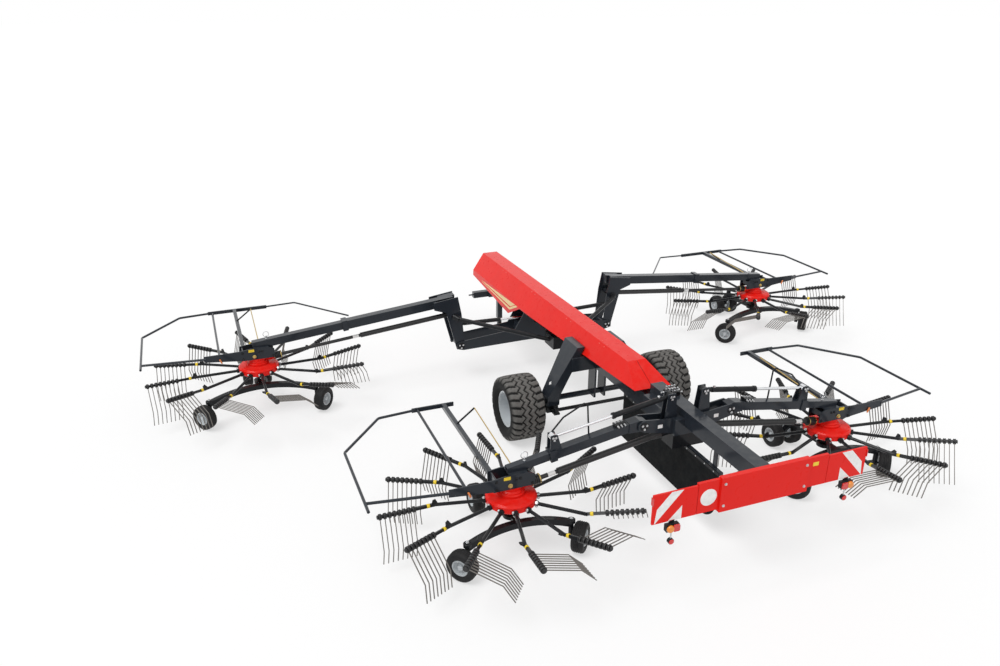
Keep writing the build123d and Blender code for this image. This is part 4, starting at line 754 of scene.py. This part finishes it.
def dress_rotor(corner, side):
    """Tine holders, end caps, root collars with bolts, and yellow bands, on one rotor."""
    holders = Shape()
    fittings = Shape()
    for index in range(ARM_COUNT):
        arm = TineArm(corner, side, index)
        for distance in arm.tine_places():
            holders.lathe(KNOB, arm.on_bar(distance), arm.bar, 14)
        holders.lathe(BAR_CAP, arm.on_bar(arm.length - SINK), arm.bar, 12)
        fittings.lathe(ROOT_COLLAR, arm.on_tube(HUB_RADIUS - SINK), arm.out, 16, 0)
        root = arm.on_tube(HUB_RADIUS + ROOT_BOLT_OUT)
        fittings.bolt(root + arm.up * ROOT_BOLT_SEAT, arm.up, ROOT_BOLT_TOP, 1)
        fittings.bolt(root - arm.round * ROOT_BOLT_SEAT, -arm.round, ROOT_BOLT_SIDE, 1)
        fittings.lathe(ARM_BAND, arm.on_bar(ARM_BAND_PLACE), arm.bar, 16, 2)
    body = f"{corner}_rotor_{side}"
    for shape, name, finishes in (
        (holders, "tine_holders", [HOLDER]),
        (fittings, "arm_fittings", [BLACK, ZINC, LABEL_YELLOW]),
    ):
        form = shape if side == "left" else shape.mirrored()
        form.piece(f"{corner}_{name}_{side}", body, "rotor_steel", finishes, smooth=45)


for corner in CORNERS:
    for side in SIDES:
        dress_rotor(corner, side)
        colour_faces(f"{corner}_rotor_{side}", [RED, BLACK, TINE_STEEL], rotor_finish(corner, side))

# Rear board: warning stripes as shares of the panel, lamps, a plain disc and a plain label
board_low, board_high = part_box("rear_board")
_, panel_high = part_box("board_panel_left")
BLOCK_STEP = 0.025
BLOCK_MARGIN = 0.030
PANEL_GAP = 0.006
BOARD_FACE = board_low.x + BLOCK_STEP
PANEL_BOTTOM = board_low.z + BLOCK_MARGIN
PANEL_OUTER = panel_high.y
PANEL_WIDTH = PANEL_OUTER - board_high.y - PANEL_GAP
PANEL_HEIGHT = panel_high.z - PANEL_BOTTOM
STRIPES = (
    ((0.05, 0.0), (0.67, 1.0), (0.40, 1.0), (0.09, 0.5)),
    ((0.35, 0.0), (0.66, 0.0), (0.66, 0.46)),
)
LAMP_FACE = BOARD_FACE - 0.040
LAMP_Z = PANEL_BOTTOM - 0.0725
LAMP_BOTTOM = PANEL_BOTTOM - 0.116
ROUND_LENS = [(0.045, 0), (0.045, 0.014), (0.038, 0.026), (0.014, 0.031)]
ROUND_LENS_INSET = 0.212
SQUARE_LENS = 0.084
SQUARE_LENS_DEPTH = 0.020
SQUARE_LENS_INSET = 0.288
MARKER_FACE = BOARD_FACE - 0.030
MARKER_LENS = [(0.033, 0), (0.033, 0.006), (0.024, 0.012), (0.008, 0.014)]
MARKER_INSET = 0.250
MARKER_DROP = 0.260
STALK_END = PANEL_BOTTOM - 0.222
SIDE_LENS = (0.050, 0.100)
SIDE_LENS_DEPTH = 0.008
SIDE_LENS_DROP = 0.080
HALF_PANEL = 0.0125
HINGE_FACE = BOARD_FACE + 0.027
PANEL_MARGIN = 0.001

stripe_films = Shape()
outer_corner = facing((BOARD_FACE, PANEL_OUTER, PANEL_BOTTOM), BEHIND)
for stripe in STRIPES:
    stripe_films.plate([(u * PANEL_WIDTH, v * PANEL_HEIGHT) for u, v in stripe], FILM, outer_corner)
on_both_sides(stripe_films, "board_stripes", "board_panel", "red_paint", [LABEL_WHITE])
lamps = Shape()
lamps.lathe(ROUND_LENS, (LAMP_FACE, PANEL_OUTER - ROUND_LENS_INSET, LAMP_Z), BEHIND, 28, 0)
square_place = facing((LAMP_FACE, PANEL_OUTER - SQUARE_LENS_INSET, LAMP_Z), BEHIND)
lamps.plate(rectangle(SQUARE_LENS, SQUARE_LENS), SQUARE_LENS_DEPTH, square_place, 1)
marker_place = (MARKER_FACE, PANEL_OUTER - MARKER_INSET, PANEL_BOTTOM - MARKER_DROP)
lamps.lathe(MARKER_LENS, marker_place, BEHIND, 24, 1)
side_place = facing((BOARD_FACE + HALF_PANEL, PANEL_OUTER, panel_high.z - SIDE_LENS_DROP), LEFTWARD)
lamps.plate(rectangle(*SIDE_LENS), SIDE_LENS_DEPTH, side_place, 1)
on_both_sides(lamps, "board_lamps", "board_panel", "red_paint", [AMBER, RUBY], bevel=0.002)


def panel_finish(centres):
    """Red sheet, black lamp housings and hinges, grey stalk."""
    x, _, z = centres.T
    kind = np.where((z < PANEL_BOTTOM - PANEL_MARGIN) | (x > HINGE_FACE), 1, 0)
    return np.where((z < LAMP_BOTTOM) & (z > STALK_END), 2, kind)


for side in SIDES:
    colour_faces(f"board_panel_{side}", [RED, BLACK, ZINC], panel_finish)

SIGN_PROFILE = [(0.105, 0), (0.105, FILM), (0.103, FILM * 1.5)]
SIGN_PLACE = (BOARD_FACE, 0.740, 1.340)
BOARD_LABEL_PLACE = (BOARD_FACE, -0.700, 1.450)
BOARD_LABEL_SIZE = (0.080, 0.050)
BOARD_BOLT = 0.026
BOARD_BOLT_Y = (-0.55, 0.55)
BOARD_BOLT_Z = (1.20, 1.48)
board_trim = Shape()
board_trim.lathe(SIGN_PROFILE, SIGN_PLACE, BEHIND, 48, 0)
label(board_trim, BOARD_LABEL_PLACE, BEHIND, BOARD_LABEL_SIZE, 1)
for y in BOARD_BOLT_Y:
    for z in BOARD_BOLT_Z:
        board_trim.bolt((board_low.x, y, z), BEHIND, BOARD_BOLT, 2)
board_trim.piece("board_trim", "chassis", "red_paint", [LABEL_WHITE, LABEL_YELLOW, ZINC])

# Hood: rivets along its folded edges, plain stripes on the front skirts, a seam on the rear slope
_, hood_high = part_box("hood")
HOOD_TOP_HALF = 0.145
RIDGE_X = 1.28
RIDGE_FALL = 0.110 / 6.0
HOOD_SLOPE = Vector((0, 0.854, 0.520))
HOOD_SLOPE_DOWN = Vector((0, 0.520, -0.854))
REAR_SLOPE = Vector((-0.417, 0, 0.909))
REAR_SLOPE_UP = Vector((0.909, 0, 0.417))
RIVETS = (1.95, 2.10, 3.10, 3.25, 4.55, 4.70, 5.95, 6.10)
RIVET = [(0.010, 0), (0.010, 0.003), (0.006, 0.006)]
RIVET_IN = 0.030
RIVET_DOWN = 0.036
SKIRT_WEDGE = ((6.80, 1.120), (5.02, 1.215), (5.25, 1.105))
SKIRT_STRIPE = (
    (6.78, 1.098), (5.28, 1.075), (4.99, 1.215),
    (4.90, 1.215), (5.28, 1.030), (6.78, 1.090),
)
SEAM_PLACE = at(1.040, 0, 1.530)
SEAM_SIZE = (0.006, 0.500)
hood_trim = Shape()
for x in RIVETS:
    ridge = hood_high.z - RIDGE_FALL * (x - RIDGE_X)
    hood_trim.lathe(RIVET, at(x, HOOD_TOP_HALF - RIVET_IN, ridge), (RIDGE_FALL, 0, 1), 10, 0)
    fold = at(x, HOOD_TOP_HALF, ridge)
    hood_trim.lathe(RIVET, fold + HOOD_SLOPE_DOWN * RIVET_DOWN, HOOD_SLOPE, 10, 0)
skirt = facing(at(0, hood_high.y, 0), LEFTWARD)
for outline in (SKIRT_WEDGE, SKIRT_STRIPE):
    hood_trim.plate([(-x, z) for x, z in outline], FILM, skirt, 1)
# The rivets wear a pale pink, a painted highlight on the red rivet heads; the wedge and stripe are
# cream
on_both_sides(hood_trim, "hood_trim", "chassis", "red_paint", [RIVET_PAINTED_HIGHLIGHT, CHEVRON])
seam = Shape()
seam.plate(rectangle(*SEAM_SIZE, 0.1), FILM, facing(SEAM_PLACE, REAR_SLOPE, REAR_SLOPE_UP))
seam.piece("hood_seam", "chassis", "red_paint", [SEAM_RED])

# Rotor heads: label, plug, bolts and peg on the rear plate, rings and a label on the shaft, a strut
SLOPE = {"front": math.radians(5.8), "rear": math.radians(9.7)}
SLEEVE_END = {"front": 3.200, "rear": 1.800}
INPUT_REACH = 0.255
INPUT_Z = 0.890
CONE_LENGTH = 0.130
CONE_RADIUS = 0.060
CONE_RING = hoop(CONE_RADIUS, 0.005, 0.012)
CONE_RIB = [(CONE_RADIUS, -0.006), (CONE_RADIUS + 0.003, 0), (CONE_RADIUS, 0.006)]
CONE_RING_IN = 0.010
CONE_RIBS = 4
CONE_RIB_START = 0.030
CONE_RIB_PITCH = 0.023
SHAFT_LABEL = hoop(0.028, 0.0003, 0.100)
SHAFT_LABEL_BACK = 0.085
HEAD_FACE = 0.115
HEAD_LABEL_AT = (0.095, 1.072)
HEAD_LABEL = (0.090, 0.046)
PLUG_AT = (0.055, 0.965)
PLUG = [(0.030, 0), (0.030, 0.006), (0.021, 0.010), (0.021, 0.024), (0.012, 0.026)]
HEAD_BOLT = 0.030
HEAD_BOLTS = ((-0.025, 1.044), (-0.075, 1.044), (-0.235, 0.945), (0.235, 0.945), (0.235, 1.050))
PEG_PROFILE = [(0.009, 0), (0.013, 0.006), (0.013, 0.070), (0.009, 0.080)]
PEG_AT = (0.595, 1.005)
PEG_BACK = 0.014
PEG_AXIS = (0, -0.38, -0.92)
STRUT_FOOT = Vector((1.500, 0.200, 1.015))
STRUT_TOP = Vector((1.520, -0.060, 1.200))
STRUT_ROD = 0.013
CABLE_END = Vector((0.108, -0.050, 1.100))
CABLE_RADIUS = 0.008


def dress_head(corner):
    """Trim of one rotor head on the left side, and its mirror image."""
    hub = HUB[corner]

    def on_plate(y, z, back=0.0):
        return (hub.x - HEAD_FACE - back, hub.y + y, z)

    trim = Shape()
    label(trim, on_plate(*HEAD_LABEL_AT), BEHIND, HEAD_LABEL, 0)
    trim.lathe(PLUG, on_plate(*PLUG_AT), BEHIND, 20, 1)
    for place in HEAD_BOLTS:
        trim.bolt(on_plate(*place), BEHIND, HEAD_BOLT, 2)
    trim.lathe(PEG_PROFILE, on_plate(*PEG_AT, PEG_BACK), PEG_AXIS, 14, 3)
    along = Vector((0, -math.cos(SLOPE[corner]), math.sin(SLOPE[corner])))
    start = Vector((hub.x, hub.y - INPUT_REACH, INPUT_Z))
    for distance in (CONE_RING_IN, CONE_LENGTH - CONE_RING_IN):
        trim.lathe(CONE_RING, start + along * distance, along, 32, 1, closed=True)
    for index in range(CONE_RIBS):
        rib_place = start + along * (CONE_RIB_START + index * CONE_RIB_PITCH)
        trim.lathe(CONE_RIB, rib_place, along, 32, 2, closed=True)
    sleeve = (hub.y - INPUT_REACH - SLEEVE_END[corner]) / math.cos(SLOPE[corner])
    label_place = start + along * (sleeve - SHAFT_LABEL_BACK)
    trim.lathe(SHAFT_LABEL, label_place, along, 24, 4, closed=True)
    trim.tube([hub + STRUT_FOOT, hub + STRUT_TOP], STRUT_ROD, 10, 2)
    trim.tube([hub + STRUT_TOP, hub + CABLE_END], CABLE_RADIUS, 8, 1)
    finishes = [LABEL_YELLOW, BRASS, BLACK, PEG, LABEL_WHITE]
    on_both_sides(trim, f"{corner}_head_trim", f"{corner}_head", "graphite_paint", finishes)


for corner in CORNERS:
    dress_head(corner)

# Hinges: pin heads with bolts, a plain label, and reflectors on the wheel legs
REAR_HINGE = (0.650, 1.400)
REAR_LUG_FACE = 0.095
REAR_PIN_HEAD = 0.056
FRONT_HINGE = (1.450, 0.645)
OUTRIGGER_FACE = 0.201
FRONT_PIN_HEAD = 0.060
PIN_BOLTS = 3
PIN_BOLT = 0.024
PIN_BOLT_SHARE = 0.62
PIN_BOLT_TURN = 0.5
LUG_LABEL_PLACE = at(-REAR_LUG_FACE, 0.420, 1.360)
LUG_LABEL_SIZE = (0.070, 0.050)
LEG_FACE = Vector((0, 0.832, 0.555))
REFLECTOR_PLACE = at(2.470, 0.7865, 0.870)
REFLECTOR = [(0.034, 0), (0, 0.034), (-0.034, 0), (0, -0.034)]


def pin_head(shape, place, normal, radius):
    """A pin's end plate with its bolts."""
    head = [(radius, 0), (radius, 0.008), (radius - 0.004, 0.012)]
    shape.lathe(head, place, normal, 28, 0)
    plane = facing(Vector(place) + Vector(normal) * 0.010, normal)
    circle = radius * PIN_BOLT_SHARE
    for index in range(PIN_BOLTS):
        angle = math.tau * index / PIN_BOLTS + PIN_BOLT_TURN
        seat = plane @ Vector((math.cos(angle) * circle, math.sin(angle) * circle, 0))
        shape.bolt(seat, normal, PIN_BOLT, 1)


fixings = Shape()
front_x = HUB["front"].x
for sign in (1, -1):
    outward = Vector((sign, 0, 0))
    pin_head(fixings, at(sign * REAR_LUG_FACE, *REAR_HINGE), outward, REAR_PIN_HEAD)
    pin_head(fixings, (front_x + sign * OUTRIGGER_FACE, *FRONT_HINGE), outward, FRONT_PIN_HEAD)
label(fixings, LUG_LABEL_PLACE, BEHIND, LUG_LABEL_SIZE, 2)
fixings.plate(REFLECTOR, FILM, facing(REFLECTOR_PLACE, LEG_FACE), 2)
on_both_sides(fixings, "hinge_fixings", "chassis", "graphite_paint", [BLACK, ZINC, LABEL_WHITE])

# Swath curtain: a clamping strip with its bolts
curtain_low, curtain_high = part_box("swath_curtain")
CURTAIN_LENGTH = curtain_high.x - curtain_low.x
CURTAIN_FACE = 0.004
CURTAIN_BOLTS = 12
CURTAIN_BOLT = 0.022
STRIP_Z = curtain_high.z - 0.022
STRIP_HEIGHT = 0.040
STRIP_THICKNESS = 0.003
clamp = Shape()
for index in range(CURTAIN_BOLTS):
    share = (index + 0.5) / CURTAIN_BOLTS
    x = curtain_low.x + share * CURTAIN_LENGTH
    clamp.bolt((x, CURTAIN_FACE, STRIP_Z), LEFTWARD, CURTAIN_BOLT, 0)
strip = facing(((curtain_low.x + curtain_high.x) / 2, CURTAIN_FACE, STRIP_Z), LEFTWARD)
clamp.plate(rectangle(CURTAIN_LENGTH, STRIP_HEIGHT, 0.1), STRIP_THICKNESS, strip, 1)
clamp.piece("curtain_clamp", "chassis", "black_paint", [ZINC, BLACK])

# Rear lift cylinders: gland at the barrel's mouth, a port, and pin heads at both eyes
REAR_BASE = Vector((0, 0.250, 1.720))
REAR_EYE = Vector((0, 1.880, 1.460))
REAR_MOUTH = 0.835
GLAND = [(0.036, 0), (0.042, 0.003), (0.042, 0.040), (0.036, 0.0445)]
GLAND_LENGTH = 0.045
BARREL_PORT = [(0.018, 0.030), (0.018, 0.052), (0.012, 0.056)]
BARREL_PORT_PLACE = 0.160
PIN_FACE = 0.0553
BASE_PIN_HEAD = 0.036
EYE_PIN_HEAD = 0.034
line = (REAR_EYE - REAR_BASE).normalized()
gland = Shape()
mouth = at(*(REAR_BASE + line * (REAR_MOUTH - GLAND_LENGTH)))
gland.lathe(GLAND, mouth, line, 28, 0, closed=True)
port = at(*(REAR_BASE + line * BARREL_PORT_PLACE))
gland.lathe(BARREL_PORT, port, (0, -line.z, line.y), 12, 1)
on_both_sides(gland, "rear_lift_gland", "rear_lift_barrel", "black_paint", [BLACK, ZINC])
base_pins = Shape()
eye_pins = Shape()
for sign in (1, -1):
    outward = Vector((sign, 0, 0))
    pin_head(base_pins, at(sign * PIN_FACE, *REAR_BASE[1:]), outward, BASE_PIN_HEAD)
    pin_head(eye_pins, at(sign * PIN_FACE, *REAR_EYE[1:]), outward, EYE_PIN_HEAD)
on_both_sides(base_pins, "rear_base_pins", "chassis", "graphite_paint", [BLACK, ZINC])
on_both_sides(eye_pins, "rear_eye_pins", "rear_arm", "graphite_paint", [BLACK, ZINC])

# Hose guides: a bent rod over each rear arm, as (y, z) points
GUIDE_ROD = 0.011
GUIDE_X = 0.066
GUIDE_PATH = (
    (1.900, 1.400), (1.880, 1.470), (1.711, 1.660),
    (1.432, 1.800), (1.385, 1.790), (1.348, 1.300),
)
guide = Shape()
guide.tube([at(GUIDE_X, y, z) for y, z in GUIDE_PATH], GUIDE_ROD, 10)
on_both_sides(guide, "hose_guide", "rear_arm", "black_paint", [BLACK])

# Lowest stations and heights of the hose bundle: ahead of the main beam, and rising from its front end
HOSE_AHEAD = (6.96, 1.10)
HOSE_RISE = (6.84, 1.34)


def frame_finish(centres):
    """Graphite frame with a black hose bundle at the nose."""
    x, _, z = centres.T
    ahead = (x > REAR_X + HOSE_AHEAD[0]) & (z > HOSE_AHEAD[1])
    rise = (x > REAR_X + HOSE_RISE[0]) & (z > HOSE_RISE[1])
    return np.where(ahead | rise, 1, 0)


colour_faces("main_frame", [GRAPHITE, BLACK], frame_finish)

# Hydraulics at the rear hinge: a manifold on the spine, a valve block on each arm's root
PORT = [(0.014, 0), (0.014, 0.014), (0.010, 0.018), (0.010, 0.040), (0.013, 0.042), (0.013, 0.052)]
PORT_SINK = 0.001
MANIFOLD_PLACE = at(0.340, 0, 1.540)
MANIFOLD_SIZE = (0.150, 0.180)
MANIFOLD_HEIGHT = 0.060
TOP_PORT_X = (-0.040, 0.040)
TOP_PORT_Y = (-0.060, -0.020, 0.020, 0.060)
SIDE_PORT_X = (-0.035, 0.035)
VALVE_PLACE = at(0, 0.960, 1.4435)
VALVE_SIZE = (0.150, 0.090)
VALVE_HEIGHT = 0.036
VALVE_BOLT = 0.026
VALVE_ROW = (-0.045, 0.0, 0.045)
VALVE_BOLT_ACROSS = 0.022
VALVE_PORT_ACROSS = -0.044
manifold = Shape()
manifold_plane = Matrix.Translation(MANIFOLD_PLACE)
manifold.plate(rectangle(*MANIFOLD_SIZE, 0.06), MANIFOLD_HEIGHT, manifold_plane, 0)
for y in TOP_PORT_Y:
    for x in TOP_PORT_X:
        seat = MANIFOLD_PLACE + Vector((x, y, MANIFOLD_HEIGHT - PORT_SINK))
        manifold.lathe(PORT, seat, UPWARD, 12, 1)
for sign in (1, -1):
    for x in SIDE_PORT_X:
        y = sign * (MANIFOLD_SIZE[1] / 2 - PORT_SINK)
        seat = MANIFOLD_PLACE + Vector((x, y, MANIFOLD_HEIGHT / 2))
        manifold.lathe(PORT, seat, LEFTWARD * sign, 12, 1)
manifold.piece("hinge_manifold", "chassis", "black_paint", [BLACK, ZINC], bevel=0.003)

arm_up = Vector((0, math.sin(SLOPE["rear"]), math.cos(SLOPE["rear"])))
valve_plane = facing(VALVE_PLACE, arm_up, (1, 0, 0))
valve = Shape()
valve.plate(rectangle(*VALVE_SIZE, 0.06), VALVE_HEIGHT, valve_plane, 0)
for along in VALVE_ROW:
    seat = valve_plane @ Vector((along, VALVE_BOLT_ACROSS, VALVE_HEIGHT - PORT_SINK))
    valve.bolt(seat, arm_up, VALVE_BOLT, 1)
    mouth = valve_plane @ Vector((along, VALVE_PORT_ACROSS, VALVE_HEIGHT / 2))
    valve.lathe(PORT[:4], mouth, BEHIND, 12, 1)
on_both_sides(valve, "arm_valve", "rear_arm", "black_paint", [BLACK, ZINC], bevel=0.002)

# Lynch pin with its ring on each head's beam
LYNCH_PIN = [(0.018, 0), (0.018, 0.010), (0.012, 0.014), (0.012, 0.050), (0.008, 0.054)]
LYNCH_PIN_IN = 0.170
RING_RADIUS = 0.045
RING_WIRE = 0.005
RING_FOOT = 0.036
WIRE_SIDES = 8
BEAM_END_TOP = {"front": 1.207, "rear": 1.203}
wire = []
for step in range(WIRE_SIDES):
    angle = math.tau * step / WIRE_SIDES
    wire.append((RING_RADIUS + RING_WIRE * math.cos(angle), RING_WIRE * math.sin(angle)))
for corner in CORNERS:
    foot = HUB[corner] + Vector((0, -LYNCH_PIN_IN, BEAM_END_TOP[corner]))
    pin = Shape()
    pin.lathe(LYNCH_PIN, foot, UPWARD, 16, 0)
    pin.lathe(wire, foot + UPWARD * (RING_RADIUS + RING_FOOT), BEHIND, 36, 0, closed=True)
    on_both_sides(pin, f"{corner}_lynch_pin", f"{corner}_head", "chrome", [ZINC])

# The drive shafts along the arms wear black plastic guards
GUARD_REACH = 0.066
GUARD_PAST_INPUT = 0.01


def shaft_finish(corner, sign):
    """Chooser of the faces that lie round a corner's drive shaft."""
    hub = HUB[corner]
    slope = SLOPE[corner]
    input_y = hub.y - INPUT_REACH

    def choose(centres):
        x, y, z = centres.T
        y = y * sign
        height = INPUT_Z + (input_y - y) * math.tan(slope)
        away = np.hypot(x - hub.x, (z - height) * math.cos(slope))
        return np.where((away < GUARD_REACH) & (y < input_y + GUARD_PAST_INPUT), 1, 0)

    return choose


for corner in CORNERS:
    for side, sign in SIDES.items():
        for part in ("arm", "carrier"):
            colour_faces(f"{corner}_{part}_{side}", [GRAPHITE, HOLDER], shaft_finish(corner, sign))


# Floor, light and camera
def seen_rays(tree):
    """One for rays from the camera and from glossy faces, nought for all others."""
    path = tree.nodes.new("ShaderNodeLightPath")
    either = tree.nodes.new("ShaderNodeMath")
    either.operation = "MAXIMUM"
    tree.links.new(path.outputs["Is Camera Ray"], either.inputs[0])
    tree.links.new(path.outputs["Is Glossy Ray"], either.inputs[1])
    return either.outputs["Value"]


FLOOR_HALF = 200.0
FLOOR_GLOW = 0.55
floor_corners = [(x * FLOOR_HALF, y * FLOOR_HALF, 0) for x, y in ((-1, -1), (1, -1), (1, 1), (-1, 1))]
floor_mesh = bpy.data.meshes.new("floor")
floor_mesh.from_pydata(floor_corners, [], [(0, 1, 2, 3)])
floor = bpy.data.objects.new("floor", floor_mesh)
bpy.context.scene.collection.objects.link(floor)
floor_nodes = Nodes("studio_floor")
floor_nodes.level({"Base Color": (0.90, 0.90, 0.90, 1), "Roughness": 0.9, "Specular IOR Level": 0.0})
glow = floor_nodes.add("ShaderNodeEmission")
glow.inputs["Color"].default_value = (1, 1, 1, 1)
glow.inputs["Strength"].default_value = 1.0
glow_share = floor_nodes.times(seen_rays(floor_nodes.tree), FLOOR_GLOW)
floor_blend = floor_nodes.add("ShaderNodeMixShader")
floor_nodes.link(glow_share, floor_blend.inputs["Fac"])
floor_nodes.link(floor_nodes.shader.outputs["BSDF"], floor_blend.inputs[1])
floor_nodes.link(glow.outputs["Emission"], floor_blend.inputs[2])
output = floor_nodes.tree.nodes["Material Output"]
floor_nodes.link(floor_blend.outputs["Shader"], output.inputs["Surface"])
floor_mesh.materials.append(floor_nodes.material)

WORLD_LIGHT = 0.62
WORLD_SEEN = 1.0
world = bpy.data.worlds.new("studio")
bpy.context.scene.world = world
world.use_nodes = True
backdrop = world.node_tree.nodes["Background"]
backdrop.inputs["Color"].default_value = (1, 1, 1, 1)
strength = world.node_tree.nodes.new("ShaderNodeMapRange")
strength.inputs["To Min"].default_value = WORLD_LIGHT
strength.inputs["To Max"].default_value = WORLD_SEEN
world.node_tree.links.new(seen_rays(world.node_tree), strength.inputs["Value"])
world.node_tree.links.new(strength.outputs["Result"], backdrop.inputs["Strength"])


def sun(name, strength, direction, softness):
    lamp = bpy.data.lights.new(name, "SUN")
    lamp.energy = strength
    lamp.angle = math.radians(softness)
    thing = bpy.data.objects.new(name, lamp)
    thing.rotation_euler = Vector(direction).to_track_quat("-Z", "Y").to_euler()
    bpy.context.scene.collection.objects.link(thing)


sun("key", strength=1.65, direction=(0.10, -0.55, -1.0), softness=35)
sun("fill", strength=0.25, direction=(0.8, 0.3, -0.7), softness=50)

# Camera of the photograph: its place, its view line and its right-hand direction
CAMERA_PLACE = at(-7.960, 5.611, 6.458)
VIEW_LINE = Vector((0.86165, -0.32969, -0.38584))
VIEW_RIGHT = Vector((-0.35736, -0.93396, 0))
FOCAL_PIXELS = 822.1
IMAGE_WIDTH = 1000
PRINCIPAL_DROP = 2.9
SENSOR_WIDTH = 36.0
camera_data = bpy.data.cameras.new("camera")
camera_data.sensor_fit = "HORIZONTAL"
camera_data.sensor_width = SENSOR_WIDTH
camera_data.lens = SENSOR_WIDTH * FOCAL_PIXELS / IMAGE_WIDTH
camera_data.shift_y = PRINCIPAL_DROP / IMAGE_WIDTH
camera_data.clip_end = 1000
camera = bpy.data.objects.new("camera", camera_data)
view_axes = Matrix((VIEW_RIGHT, VIEW_RIGHT.cross(VIEW_LINE), -VIEW_LINE))
camera.matrix_world = Matrix.Translation(CAMERA_PLACE) @ view_axes.transposed().to_4x4()
bpy.context.scene.collection.objects.link(camera)
bpy.context.scene.camera = camera
bpy.context.scene.view_settings.view_transform = "Standard"

bpy.context.view_layer.update()
